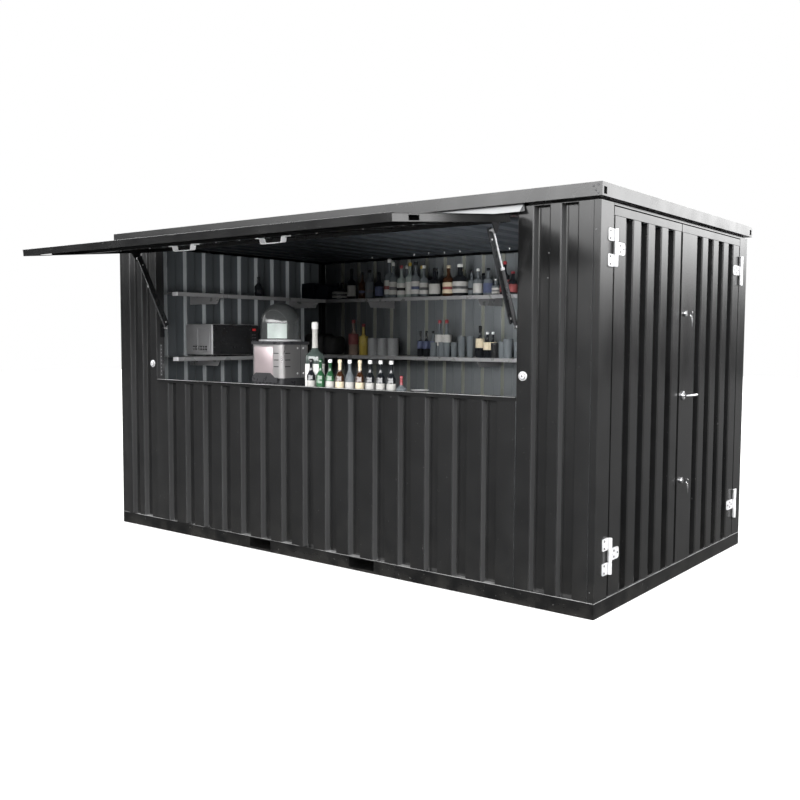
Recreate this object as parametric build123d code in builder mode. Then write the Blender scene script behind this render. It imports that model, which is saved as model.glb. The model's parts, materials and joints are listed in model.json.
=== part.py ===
from math import atan2, cos, degrees, pi, radians, sin, sqrt
import os

from build123d import *

# A sheet-steel container bar: a flat-roofed cabin with a serving opening under a lifting flap
# in its long front, and a pair of leaves in its right-hand end.
# Millimetres. Origin at the centre of the base's underside, X along the front towards the doors,
# Y from the front to the back, Z up.

# Whole cabin
length = 4000
depth = 2280
height = 2220
sheet = 2  # folded wall, leaf, shelf and flap sheet
plate = 3  # base, post and fascia plate

# Base
skirt_height = 85
base_flange_width = 90
fork_width = 200
fork_height = 60
fork_bottom = 15
fork_spacing = 900
fork_shift = -15  # the pair's middle from the cabin's middle
joist_width = 50
joist_pitch = 500  # none at the fork tunnels
floor_thickness = 18
floor_inset = 75  # from the outer faces of the walls, clear of the jambs

# Pressed channels of the walls
groove_mouth = 92
groove_taper = 6  # how far each flank leans in over the channel's depth
groove_depth = 42
wall_pitch = 196
wall_depth = groove_depth + sheet

# Corner posts
post_width = 40  # along the front and back
door_post_width = 150  # across the door end
end_post_width = 60  # across the closed end

# Serving opening
opening_from_left = 440
opening_from_right = 478
jamb_depth = 70
opening_height = 967
sill_height = 24
header_height = 40
front_first_groove = 125  # from the opening's left side to the first channel below it
left_panel_grooves = (122, 270)  # from the left corner to each channel's near lip
right_panel_grooves = (290, 128)  # from the right corner to each channel's near lip

# Roof
fascia_height = 70
front_overhang = 35
end_overhang = 21
shadow_gap = 15  # between the walls and the fascia
roof_frame_inset = 20
roof_frame_width = 40
fascia_return = 30  # top flange of the fascia
rib_height = 34
rib_crown = 60
rib_foot = 100
rib_pitch = 200
notch_width = 34
notch_height = 35
notch_from_corner = 19
notch_above_edge = 11

# Flap over the serving opening, shown open
flap_left_inset = 30  # from the opening's side
flap_right_inset = 12
flap_overlap = 47  # below the sill when shut
flap_slope = 5.6  # degrees below level
flap_rim_depth = 40
flap_groove_depth = 20
flap_groove_taper = 4
hinge_stand_off = 50  # hinge line in front of the wall
hinge_drop = 56  # below the fascia
hinge_pin_radius = 3
hinge_barrel_radius = 6
hinge_play = 0.3  # round the pin and between barrels
hinge_leaf = 60  # length of one barrel
hinge_count = 3
barrel_sides = 12  # flats round a rolled hinge barrel
hinge_edge_gap = 9  # from the hinge line to the flap's rear edge
flap_edge_flat = 45
flap_skin_lip = 10
rail_from_edge = 379
rail_width = 60
rail_height = 18
handle_spacing = 760
handle_length = 240
handle_foot = 35
handle_drop = 35
handle_strap = 4
handle_width = 40
handle_flare = 8
slot_from_edge = 121
slot_length = 81
slot_height = 25
flashing_left_lap = 10  # past the opening
flashing_right_lap = 38
flashing_upstand = 38

# Gas struts of the flap
strut_low_y = 50  # behind the front face
strut_low_drop = 589  # below the hinge line
strut_high_y = -190
strut_high_drop = 94
tube_radius = 11
tube_length = 330
rod_radius = 5
eye_radius = 11
eye_width = 12
stud_radius = 5
stud_gap = 0.4
strut_inset = 20  # strut axis from the flap's end
tube_start = 14
bore_start = 140
rod_start = 270
rod_play = 0.3
eye_play = 0.5
stud_head = 3
guard_start = 25
guard_tail = 15  # past the upper pivot
guard_offset = 10
mount_width = 40
mount_height = 100
mount_above_stud = 32
mount_round = 16
guard_width = 30
guard_thickness = 4
guard_inboard = 22  # from the strut's axis
bracket_thickness = 5

# Double doors
door_gap = 5  # round each leaf
leaf_gap = 9  # between the two leaves
door_head_height = 10
door_split = -62.5  # across the end, measured from the middle
door_top_rail = 45
leaf_pitch = 191
leaf_first_groove = {"left": 145, "right": 128}  # from the hinged edge
leaf_plain_edge = {"left": 100, "right": 235}  # least flat at the free edge
hinge_from_foot = 219
hinge_from_top = 212
door_hinge_height = 195
door_barrel_radius = 12
door_pin_radius = 6
door_barrel_stand_off = 14
door_hinge_plate = 4
post_plate_width = 60
leaf_plate_width = 130
door_pin_play = 0.3
lever_from_edge = 70
lever_z = 1103
rose_radius = 27.5
rose_thickness = 10
lever_neck_radius = 9
lever_reach = 50
lever_length = 120
lever_bar = 18
lock_below_lever = 515
lock_above_lever = 493
lock_rose_radius = 18
lock_rose_thickness = 12
flap_lock_radius = 25
flap_lock_thickness = 12
flap_lock_from_opening = 43

# Fittings inside
counter_depth = 400
counter_below_sill = 60
counter_thickness = 20
counter_bracket_count = 4
counter_bracket_drop = 150
lower_shelf_drop = 848  # below the top of the walls
upper_shelf_drop = 355
shelf_depth = 405
shelf_lip = 30
back_shelf_length = 3206
left_shelf_start = 190  # from the front face
bracket_drop = 75
bracket_slant = 50  # how far the lower edge stops short of the upper
shelf_bracket_reach = 385
bracket_plate = 4
back_brackets_from_left = (876, 2006, 3136)  # from the closed end's inner face
left_brackets_from_front = (640, 1780)  # from the front face
key_thickness = 2.5
key_shank = 14
key_width = 8
key_bow = 24

# Things kept on the counter and the shelf
bottle_sides = 12
bottle_count = 9
bottle_pitch = 84
bottle_radius = 30
bottle_neck = 13
bottle_height = 235
bottle_row_from_sill = 50  # from the sill's inner edge to the row's middle
first_bottle_from_opening = 1460
large_bottle_radius = 65
large_bottle_neck = 20
large_bottle_height = 476
large_bottle_from_opening = 1410
large_bottle_from_sill = 140
flask_radius = 35
flask_neck = 10
flask_height = 144
flask_from_opening = 2210
dispenser_from_opening = 1055
dispenser_from_sill = 170
dispenser_width = 300
dispenser_depth = 270
dispenser_foot = 103
dispenser_foot_inset = 22
dispenser_case = 223
dispenser_band = 20
dispenser_band_proud = 8
dispenser_corner = 40
dome_ring_radius = 150
dome_ring = 13
dome_radius = 137
dome_height = 258
dome_sides = 32
dome_bands = 6  # sloping bands that the dome is made of
dome_crown = 84  # degrees up to the small flat at its top
microwave_from_front = 577
microwave_width = 493
microwave_depth = 340
microwave_height = 258
microwave_foot = 8
microwave_foot_width = 30
microwave_foot_inset = 25
microwave_door = 14
microwave_door_inset = 6
microwave_panel = 95  # control panel beside the door
microwave_from_wall = 16

# Worked-out places
right = length / 2
left = -right
front = -depth / 2
back = depth / 2
fascia_bottom = height - fascia_height
wall_top = fascia_bottom - shadow_gap
header_bottom = wall_top - header_height
sill_top = header_bottom - opening_height
opening_left = left + opening_from_left
opening_right = right - opening_from_right
opening_width = opening_right - opening_left
fork_centres = (fork_shift - fork_spacing / 2, fork_shift + fork_spacing / 2)
hinge_y = front - hinge_stand_off
hinge_z = fascia_bottom - hinge_drop
flap_left = opening_left + flap_left_inset
flap_right = opening_right - flap_right_inset
flap_length = hinge_z - sill_top + flap_overlap
rail_from_hinge = flap_length - rail_from_edge
flap_lock_z = hinge_z - flap_length + slot_from_edge + slot_length / 2
strut_low_z = hinge_z - strut_low_drop
strut_high_z = hinge_z - strut_high_drop
door_top = wall_top - door_head_height
leaf_bottom = skirt_height + door_gap
leaf_top = door_top - door_gap
hinge_heights = (leaf_bottom + hinge_from_foot, leaf_top - hinge_from_top)
lock_heights = (lever_z - lock_below_lever, lever_z + lock_above_lever)
door_axis_x = right + door_barrel_stand_off
door_side = depth / 2 - door_post_width  # half the clear width between the door posts
counter_top = sill_top - counter_below_sill
lower_shelf_z = wall_top - lower_shelf_drop
shelf_heights = (lower_shelf_z, wall_top - upper_shelf_drop)
inner_left = left + wall_depth
inner_back = back - wall_depth


os.makedirs("parts", exist_ok=True)


def save(part, name):
    part.label = name
    export_step(part, f"parts/{name}.step")


def wall_plane(side, z):
    """Plan plane on a wall's outer face: local X along the wall, local Y into the cabin."""
    origins = {"front": (0, front), "back": (0, back), "left": (left, 0), "right": (right, 0)}
    along = {"front": (1, 0), "back": (-1, 0), "left": (0, -1), "right": (0, 1)}
    return Plane(origin=(*origins[side], z), x_dir=(*along[side], 0), z_dir=(0, 0, 1))


def flap_plane(along):
    """Section plane of the open flap at a distance from its hinge: local X to the left, local Y down."""
    slope = radians(flap_slope)
    out = Vector(0, -cos(slope), -sin(slope))
    hinge = Vector(0, hinge_y, hinge_z)
    return Plane(origin=hinge + out * along, x_dir=(-1, 0, 0), z_dir=out)


def flap_side(x):
    """Side plane of the open flap: local X out from the hinge, local Y up from the skin."""
    slope = radians(flap_slope)
    return Plane(origin=(x, hinge_y, hinge_z), x_dir=(0, -cos(slope), -sin(slope)), z_dir=(-1, 0, 0))


def ribbed_points(start, end, lips, mouth, taper, groove, returns=(0, 0)):
    """Outline of a folded sheet: flats, channels with leaning flanks, and an optional return at each end."""
    lean = taper / groove
    shift = sheet * (sqrt(1 + lean * lean) - lean)
    outer = [(start, returns[0])] if returns[0] else []
    inner = [(start + sheet, returns[0]), (start + sheet, sheet)] if returns[0] else [(start, sheet)]
    outer.append((start, 0))
    for lip in lips:
        outer += [(lip, 0), (lip + taper, groove), (lip + mouth - taper, groove), (lip + mouth, 0)]
        inner += [
            (lip - shift, sheet),
            (lip + taper - shift, groove + sheet),
            (lip + mouth - taper + shift, groove + sheet),
            (lip + mouth + shift, sheet),
        ]
    outer.append((end, 0))
    if returns[1]:
        outer.append((end, returns[1]))
        inner += [(end - sheet, sheet), (end - sheet, returns[1])]
    else:
        inner.append((end, sheet))
    return outer + inner[::-1]


def ribbed_wall(side, bottom, top, start, end, lips, returns=(0, 0)):
    """A wall sheet with upright channels."""
    with BuildPart() as wall:
        with BuildSketch(wall_plane(side, bottom)):
            with BuildLine():
                Polyline(*ribbed_points(start, end, lips, groove_mouth, groove_taper, groove_depth, returns), close=True)
            make_face()
        extrude(amount=top - bottom)
    return wall.part


def spread_lips(start, end, pitch):
    """Left lips of as many channels as fit between start and end, centred."""
    count = int((end - start - groove_mouth) // pitch)
    first = (start + end - (count - 1) * pitch - groove_mouth) / 2
    return [first + pitch * step for step in range(count)]


def box_between(low, high, mode=Mode.ADD):
    """A block given by two corners, inside the part being built."""
    size = [b - a for a, b in zip(low, high)]
    with Locations(tuple((a + b) / 2 for a, b in zip(low, high))):
        Box(*size, mode=mode)


# Base: a channel on each side, two fork tunnels and joists under the floor
def base_beam(side):
    face, inward, align = (front, 1, Align.MIN) if side == "front" else (back, -1, Align.MAX)
    with BuildPart() as beam:
        with BuildSketch(Plane.YZ.offset(left + plate)):
            with Locations((face, 0)):
                Rectangle(base_flange_width, skirt_height, align=(align, Align.MIN))
            with Locations((face + inward * plate, plate)):
                Rectangle(base_flange_width, skirt_height - 2 * plate, align=(align, Align.MIN), mode=Mode.SUBTRACT)
        extrude(amount=length - 2 * plate)
        for centre in fork_centres:
            with Locations((centre, face, fork_bottom + fork_height / 2)):
                Box(fork_width, 4 * plate, fork_height, mode=Mode.SUBTRACT)
    return beam.part


for side in ("front", "back"):
    save(base_beam(side), f"base_{side}")

with BuildPart() as base_ends:
    for outside, inside in ((left, 1), (right, -1)):
        inward_from = (Align.MIN if inside > 0 else Align.MAX, Align.CENTER)
        with BuildSketch(Plane.XY):
            with Locations((outside, 0)):
                Rectangle(plate, depth, align=inward_from)
        extrude(amount=skirt_height)
        with BuildSketch(Plane.XY, Plane.XY.offset(skirt_height - plate)):
            with Locations((outside + inside * plate, 0)):
                Rectangle(base_flange_width - plate, depth - 2 * base_flange_width, align=inward_from)
        extrude(amount=plate)
save(base_ends.part, "base_ends")

with BuildPart() as fork_tunnels:
    with BuildSketch(Plane.XZ.offset(-(back - plate))):
        for centre in fork_centres:
            with Locations((centre, fork_bottom + fork_height / 2)):
                Rectangle(fork_width + 2 * plate, fork_height + 2 * plate)
                Rectangle(fork_width, fork_height, mode=Mode.SUBTRACT)
    extrude(amount=depth - 2 * plate)
save(fork_tunnels.part, "fork_tunnels")

with BuildPart() as floor_joists:
    joist_steps = int((length / 2 - base_flange_width - joist_width) // joist_pitch)
    for step in [step for step in range(-joist_steps, joist_steps + 1) if abs(step) != 1]:
        centre = joist_pitch * step
        with BuildSketch(Plane.XZ.offset(-(back - base_flange_width))):
            with Locations((centre, skirt_height / 2)):
                Rectangle(joist_width, skirt_height)
                Rectangle(joist_width - 2 * plate, skirt_height - 2 * plate, mode=Mode.SUBTRACT)
        extrude(amount=depth - 2 * base_flange_width)
save(floor_joists.part, "floor_joists")

with BuildPart() as floor_board:
    with BuildSketch(Plane.XY.offset(skirt_height)):
        Rectangle(length - 2 * floor_inset, depth - 2 * floor_inset)
    extrude(amount=floor_thickness)
save(floor_board.part, "floor_board")


# Corner posts: hollow, wider at the door end
with BuildPart() as corner_posts:
    for x_side, post_depth in ((-1, end_post_width), (1, door_post_width)):
        for y_side in (-1, 1):
            corner = (Align.MAX if x_side > 0 else Align.MIN, Align.MAX if y_side > 0 else Align.MIN)
            with BuildSketch(Plane.XY.offset(skirt_height)):
                with Locations((right * x_side, back * y_side)):
                    Rectangle(post_width, post_depth, align=corner)
                with Locations(((right - plate) * x_side, (back - plate) * y_side)):
                    Rectangle(post_width - 2 * plate, post_depth - 2 * plate, align=corner, mode=Mode.SUBTRACT)
            extrude(amount=wall_top - skirt_height)
save(corner_posts.part, "corner_posts")

# Walls
first_lip = opening_left + front_first_groove
front_count = int((opening_right - first_lip - groove_mouth) // wall_pitch) + 1
front_lips = [first_lip + wall_pitch * step for step in range(front_count)]
left_lips = [left + place for place in left_panel_grooves]
right_lips = [right - place - groove_mouth for place in right_panel_grooves]
save(
    ribbed_wall("front", skirt_height, sill_top - sill_height, opening_left, opening_right, front_lips),
    "front_wall",
)
save(
    ribbed_wall(
        "front", skirt_height, wall_top, left + post_width, opening_left, left_lips, (0, jamb_depth)
    ),
    "front_panel_left",
)
save(
    ribbed_wall(
        "front", skirt_height, wall_top, opening_right, right - post_width, right_lips, (jamb_depth, 0)
    ),
    "front_panel_right",
)
back_span = right - post_width
save(
    ribbed_wall(
        "back", skirt_height, wall_top, -back_span, back_span, spread_lips(-back_span, back_span, wall_pitch)
    ),
    "back_wall",
)
end_span = back - end_post_width
save(
    ribbed_wall(
        "left", skirt_height, wall_top, -end_span, end_span, spread_lips(-end_span, end_span, wall_pitch)
    ),
    "left_wall",
)

with BuildPart() as serving_sill:
    with BuildSketch(Plane.YZ.offset(opening_left)):
        with Locations((front, sill_top - sill_height)):
            Rectangle(jamb_depth, sill_height, align=Align.MIN)
        with Locations((front + sheet, sill_top - sill_height)):
            Rectangle(jamb_depth - 2 * sheet, sill_height - sheet, align=Align.MIN, mode=Mode.SUBTRACT)
    extrude(amount=opening_width)
save(serving_sill.part, "serving_sill")

with BuildPart() as front_header:
    with BuildSketch(Plane.YZ.offset(opening_left)):
        with Locations((front, header_bottom)):
            Rectangle(jamb_depth, header_height, align=Align.MIN)
        with Locations((front + sheet, header_bottom + sheet)):
            Rectangle(jamb_depth - 2 * sheet, header_height - 2 * sheet, align=Align.MIN, mode=Mode.SUBTRACT)
    extrude(amount=opening_width)
save(front_header.part, "front_header")

# Door head with a stop behind the leaves, and a stop on each door post
stop_x = right - wall_depth - 2 * door_gap
stop_lap = 25
with BuildPart() as door_head:
    box_between((stop_x, -door_side, door_top), (right, door_side, wall_top))
    box_between((stop_x - plate, -door_side, door_top - stop_lap), (stop_x, door_side, wall_top))
save(door_head.part, "door_head")

with BuildPart() as door_stops:
    for y_side in (-1, 1):
        low, high = sorted((y_side * (door_side - stop_lap), y_side * (door_side + stop_lap)))
        box_between((stop_x - plate, low, skirt_height + floor_thickness), (stop_x, high, door_top - stop_lap))
        low, high = sorted((y_side * (door_side + stop_lap - plate), y_side * (door_side + stop_lap)))
        box_between(
            (stop_x - plate, low, skirt_height + floor_thickness), (right - post_width, high, door_top - stop_lap)
        )
save(door_stops.part, "door_stops")

# Roof: a recessed frame on a flange over the walls, an overhanging fascia and a ribbed sheet
with BuildPart() as roof_frame:
    inset = roof_frame_inset + roof_frame_width
    for outer_inset, rise in ((0, sheet), (roof_frame_inset, shadow_gap)):
        with BuildSketch(Plane.XY.offset(wall_top)):
            Rectangle(length - 2 * outer_inset, depth - 2 * outer_inset)
            Rectangle(length - 2 * inset, depth - 2 * inset, mode=Mode.SUBTRACT)
        extrude(amount=rise)
save(roof_frame.part, "roof_frame")

roof_length = length + 2 * end_overhang
roof_depth = depth + 2 * front_overhang
with BuildPart() as roof_fascia:
    with BuildSketch(Plane.XY.offset(fascia_bottom)):
        Rectangle(roof_length, roof_depth)
        Rectangle(length - 2 * inset, depth - 2 * inset, mode=Mode.SUBTRACT)
    extrude(amount=plate)
    with BuildSketch(Plane.XY.offset(fascia_bottom)):
        Rectangle(roof_length, roof_depth)
        Rectangle(roof_length - 2 * plate, roof_depth - 2 * plate, mode=Mode.SUBTRACT)
    extrude(amount=fascia_height)
    with BuildSketch(Plane.XY.offset(height - plate)):
        Rectangle(roof_length, roof_depth)
        Rectangle(roof_length - 2 * fascia_return, roof_depth - 2 * fascia_return, mode=Mode.SUBTRACT)
    extrude(amount=plate)
    for x_side in (-1, 1):
        for y_side in (-1, 1):
            notch_y = y_side * (roof_depth / 2 - notch_from_corner - notch_width / 2)
            notch_z = fascia_bottom + notch_above_edge + notch_height / 2
            with Locations((x_side * roof_length / 2, notch_y, notch_z)):
                Box(4 * plate, notch_width, notch_height, mode=Mode.SUBTRACT)
save(roof_fascia.part, "roof_fascia")

with BuildPart() as roof_sheet:
    half = roof_length / 2 - plate - sheet
    rib_count = int((2 * half - rib_foot) // rib_pitch)
    rib_lips = [rib_pitch * (step - (rib_count - 1) / 2) - rib_foot / 2 for step in range(rib_count)]
    taper = (rib_foot - rib_crown) / 2
    with BuildSketch(Plane.XZ.offset(-(roof_depth / 2 - plate - sheet))):
        with BuildLine():
            base_z = fascia_bottom + plate
            points = ribbed_points(-half, half, rib_lips, rib_foot, taper, rib_height)
            Polyline(*[(x, base_z + y) for x, y in points], close=True)
        make_face()
    extrude(amount=roof_depth - 2 * plate - 2 * sheet)
save(roof_sheet.part, "roof_sheet")

# Flashing from the roof's edge down to the flap's hinge line, with an upstand on the wall
hinge_to_eave = Vector(front - sheet - hinge_y, fascia_bottom - hinge_z).normalized()
flashing_start = hinge_barrel_radius + 4


def flashing_point(along, proud):
    """A point beside the line from the hinge to the eave, as Y and Z."""
    normal = Vector(-hinge_to_eave.Y, hinge_to_eave.X)
    point = Vector(hinge_y, hinge_z) + hinge_to_eave * along + normal * proud
    return point.X, point.Y


def flashing_meets(proud, z):
    """Where that line at a given stand-off reaches a level, as Y and Z."""
    y_start, z_start = flashing_point(0, proud)
    return y_start + (z - z_start) * hinge_to_eave.X / hinge_to_eave.Y, z


with BuildPart() as flap_flashing:
    with BuildSketch(Plane.YZ.offset(opening_left - flashing_left_lap)):
        with BuildLine():
            Polyline(
                flashing_point(flashing_start, hinge_barrel_radius),
                flashing_meets(hinge_barrel_radius, fascia_bottom),
                (front, fascia_bottom),
                (front, fascia_bottom - flashing_upstand),
                (front - sheet, fascia_bottom - flashing_upstand),
                (front - sheet, fascia_bottom - sheet),
                flashing_meets(hinge_barrel_radius - sheet, fascia_bottom - sheet),
                flashing_point(flashing_start, hinge_barrel_radius - sheet),
                close=True,
            )
        make_face()
    extrude(amount=opening_width + flashing_left_lap + flashing_right_lap)
save(flap_flashing.part, "flap_flashing")

# Hinges of the flap: three barrels on one pin each, the middle barrel on the flap
hinge_step = (flap_right - flap_left) / hinge_count
hinge_places = [flap_left + hinge_step * (step + 0.5) for step in range(hinge_count)]
barrel_pitch = hinge_leaf + 2 * hinge_play
leaf_reach = 28

with BuildPart() as flap_hinge_fixed:
    for place in hinge_places:
        for shift in (-barrel_pitch, barrel_pitch):
            with BuildSketch(Plane.YZ.offset(place + shift - hinge_leaf / 2)):
                with Locations((hinge_y, hinge_z)):
                    RegularPolygon(hinge_barrel_radius, barrel_sides)
                with BuildLine():
                    proud = hinge_barrel_radius - sheet
                    Polyline(
                        flashing_point(0, proud),
                        flashing_point(leaf_reach, proud),
                        flashing_point(leaf_reach, proud - sheet),
                        flashing_point(0, proud - sheet),
                        close=True,
                    )
                make_face()
            extrude(amount=hinge_leaf)
        with BuildSketch(Plane.YZ.offset(place - barrel_pitch)):
            with Locations((hinge_y, hinge_z)):
                Circle(hinge_pin_radius)
        extrude(amount=2 * barrel_pitch)
save(flap_hinge_fixed.part, "flap_hinge_fixed")

with BuildPart() as flap_hinge_moving:
    for place in hinge_places:
        with BuildSketch(flap_side(place + hinge_leaf / 2)):
            RegularPolygon(hinge_barrel_radius, barrel_sides)
            Rectangle(leaf_reach, sheet, align=Align.MIN)
            Circle(hinge_pin_radius + hinge_play, mode=Mode.SUBTRACT)
        extrude(amount=hinge_leaf)
save(flap_hinge_moving.part, "flap_hinge_moving")

# Flap: ribbed skin, rim with a catch slot in each end, and a rail with two handles
flap_groove = (groove_mouth, flap_groove_taper, flap_groove_depth)
flap_lips = spread_lips(-flap_right + flap_edge_flat, -flap_left - flap_edge_flat, wall_pitch)
flap_run = flap_length - hinge_edge_gap
with BuildPart() as flap_skin:
    with BuildSketch(flap_plane(hinge_edge_gap + sheet)):
        with BuildLine():
            skin_ends = (-flap_right - flap_skin_lip, -flap_left + flap_skin_lip)
            Polyline(*ribbed_points(*skin_ends, flap_lips, *flap_groove), close=True)
        make_face()
    extrude(amount=flap_run - 2 * sheet)
save(flap_skin.part, "flap_skin")

with BuildPart() as flap_rim:
    for along in (hinge_edge_gap, flap_length - sheet):
        with BuildSketch(flap_plane(along)):
            with Locations((-flap_right, 0)):
                Rectangle(flap_right - flap_left, flap_rim_depth, align=Align.MIN)
        extrude(amount=sheet)
    for end in (flap_left, flap_right - sheet):
        with BuildSketch(flap_side(end + sheet)):
            with Locations((hinge_edge_gap, -sheet)):
                Rectangle(flap_run, flap_rim_depth - sheet, align=(Align.MIN, Align.MAX))
            with Locations((flap_length - slot_from_edge, -flap_rim_depth / 2 - sheet)):
                Rectangle(slot_length, slot_height, align=(Align.MAX, Align.CENTER), mode=Mode.SUBTRACT)
        extrude(amount=sheet)
save(flap_rim.part, "flap_rim")

rail_top = flap_groove_depth + sheet
with BuildPart() as flap_rail:
    with BuildSketch(flap_side(flap_right - sheet)):
        with Locations((rail_from_hinge, -rail_top)):
            Rectangle(rail_width, rail_height, align=(Align.CENTER, Align.MAX))
        with Locations((rail_from_hinge, -rail_top - sheet)):
            hollow = (rail_width - 2 * sheet, rail_height - 2 * sheet)
            Rectangle(*hollow, align=(Align.CENTER, Align.MAX), mode=Mode.SUBTRACT)
    extrude(amount=flap_right - flap_left - 2 * sheet)
save(flap_rail.part, "flap_rail")

handle_top = rail_top + rail_height
with BuildPart() as flap_handles:
    flap_middle = (flap_left + flap_right) / 2
    for centre in (flap_middle - handle_spacing / 2, flap_middle + handle_spacing / 2):
        with BuildSketch(flap_plane(rail_from_hinge - handle_width / 2)):
            half = handle_length / 2
            knee = half - handle_foot
            with BuildLine():
                Polyline(
                    (-centre - half, handle_top),
                    (-centre - knee + handle_strap, handle_top),
                    (-centre - knee + handle_strap + handle_flare, handle_top + handle_drop - handle_strap),
                    (-centre + knee - handle_strap - handle_flare, handle_top + handle_drop - handle_strap),
                    (-centre + knee - handle_strap, handle_top),
                    (-centre + half, handle_top),
                    (-centre + half, handle_top + handle_strap),
                    (-centre + knee, handle_top + handle_strap),
                    (-centre + knee - handle_flare, handle_top + handle_drop),
                    (-centre - knee + handle_flare, handle_top + handle_drop),
                    (-centre - knee, handle_top + handle_strap),
                    (-centre - half, handle_top + handle_strap),
                    close=True,
                )
            make_face()
        extrude(amount=handle_width)
save(flap_handles.part, "flap_handles")

# Gas struts: a bracket on each jamb and on the flap, a tube and a rod with its guard
strut_low = Vector(0, front + strut_low_y, strut_low_z)
strut_high = Vector(0, front + strut_high_y, strut_high_z)
strut_line = strut_high - strut_low
strut_length = strut_line.length
strut_out = strut_line.normalized()
flap_pivot = flap_side(0).to_local_coords(strut_high)
strut_ends = {"left": (flap_left, opening_left, 1), "right": (flap_right, opening_right, -1)}


def strut_plane(x, z_sign=1):
    """Side plane through the lower pivot: local X up the strut."""
    return Plane(origin=(x, strut_low.Y, strut_low.Z), x_dir=strut_out, z_dir=(z_sign, 0, 0))


def across(start, thickness, inward):
    """X of the lower-X face of a layer that starts at a face and is so thick, going inward."""
    return start if inward > 0 else start - thickness


with BuildPart() as strut_jamb_mounts:
    for flap_end, jamb, inward in strut_ends.values():
        axis_x = flap_end + inward * strut_inset
        with BuildSketch(Plane.YZ.offset(across(jamb, bracket_thickness, inward))):
            with Locations((strut_low.Y + jamb_depth - strut_low_y, strut_low.Z + mount_above_stud)):
                Rectangle(mount_width, mount_height, align=Align.MAX)
        extrude(amount=bracket_thickness)
        reach = abs(axis_x - jamb) + eye_width / 2 + stud_head
        with BuildSketch(Plane.YZ.offset(across(jamb, reach, inward))):
            with Locations((strut_low.Y, strut_low.Z)):
                Circle(stud_radius)
        extrude(amount=reach)
        head_x = axis_x + inward * (eye_width / 2 + eye_play)
        with BuildSketch(Plane.YZ.offset(across(head_x, stud_head, inward))):
            with Locations((strut_low.Y, strut_low.Z)):
                RegularPolygon(stud_radius + stud_head, 6)
        extrude(amount=stud_head)
save(strut_jamb_mounts.part, "strut_jamb_mounts")

with BuildPart() as strut_flap_mounts:
    for flap_end, jamb, inward in strut_ends.values():
        inner = flap_end + inward * sheet
        with BuildSketch(flap_side(across(inner, bracket_thickness, inward) + bracket_thickness)):
            with BuildLine():
                Polyline(
                    (flap_pivot.X - mount_height / 2, -sheet - flap_groove_depth),
                    (flap_pivot.X + mount_height / 2, -sheet - flap_groove_depth),
                    (flap_pivot.X + mount_round, flap_pivot.Y),
                    (flap_pivot.X - mount_round, flap_pivot.Y),
                    close=True,
                )
            make_face()
            with Locations((flap_pivot.X, flap_pivot.Y)):
                Circle(mount_round)
        extrude(amount=bracket_thickness)
save(strut_flap_mounts.part, "strut_flap_mounts")


def strut_tube(flap_end, inward):
    axis_x = flap_end + inward * strut_inset
    with BuildPart() as tube:
        with BuildSketch(strut_plane(axis_x - eye_width / 2)):
            Circle(eye_radius)
            Rectangle(tube_start, 2 * stud_radius, align=(Align.MIN, Align.CENTER))
        extrude(amount=eye_width)
        with BuildSketch(Plane(origin=(axis_x, *tuple(strut_low + strut_out * tube_start)[1:]), z_dir=strut_out)):
            Circle(tube_radius)
        extrude(amount=tube_length - tube_start)
        with BuildSketch(Plane(origin=(axis_x, *tuple(strut_low + strut_out * bore_start)[1:]), z_dir=strut_out)):
            Circle(rod_radius + rod_play)
        extrude(amount=tube_length - bore_start, mode=Mode.SUBTRACT)
        with BuildSketch(strut_plane(axis_x - eye_width / 2)):
            Circle(stud_radius + rod_play)
        extrude(amount=eye_width, mode=Mode.SUBTRACT)
    return tube.part


def strut_rod(flap_end, inward):
    axis_x = flap_end + inward * strut_inset
    bracket_face = flap_end + inward * (sheet + bracket_thickness + stud_gap)
    rod_end = strut_length - eye_radius / 2
    with BuildPart() as rod:
        with BuildSketch(Plane(origin=(axis_x, *tuple(strut_low + strut_out * rod_start)[1:]), z_dir=strut_out)):
            Circle(rod_radius)
        extrude(amount=rod_end - rod_start)
        with BuildSketch(strut_plane(axis_x - eye_width / 2)):
            with Locations((strut_length, 0)):
                Circle(eye_radius)
        extrude(amount=eye_width)
        guard_face = axis_x + inward * guard_inboard
        span = abs(guard_face - bracket_face)
        with BuildSketch(strut_plane(across(bracket_face, span, inward))):
            with Locations((strut_length, 0)):
                Circle(stud_radius)
        extrude(amount=span)
    return rod.part


def strut_guard(flap_end, inward):
    guard_face = flap_end + inward * (strut_inset + guard_inboard)
    with BuildPart() as guard:
        with BuildSketch(strut_plane(across(guard_face, guard_thickness, inward))):
            with Locations((guard_start, guard_offset)):
                Rectangle(strut_length + guard_tail - guard_start, guard_width, align=(Align.MIN, Align.CENTER))
        extrude(amount=guard_thickness)
    return guard.part


for side, (flap_end, jamb, inward) in strut_ends.items():
    save(strut_tube(flap_end, inward), f"strut_tube_{side}")
    save(strut_rod(flap_end, inward), f"strut_rod_{side}")
    save(strut_guard(flap_end, inward), f"strut_guard_{side}")

# Catches of the flap on the flats beside the opening
with BuildPart() as flap_locks:
    for x in (opening_left - flap_lock_from_opening, opening_right + flap_lock_from_opening):
        with BuildSketch(Plane.XZ.offset(-front)):
            with Locations((x, flap_lock_z)):
                Circle(flap_lock_radius)
        extrude(amount=flap_lock_thickness)
save(flap_locks.part, "flap_locks")

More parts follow.
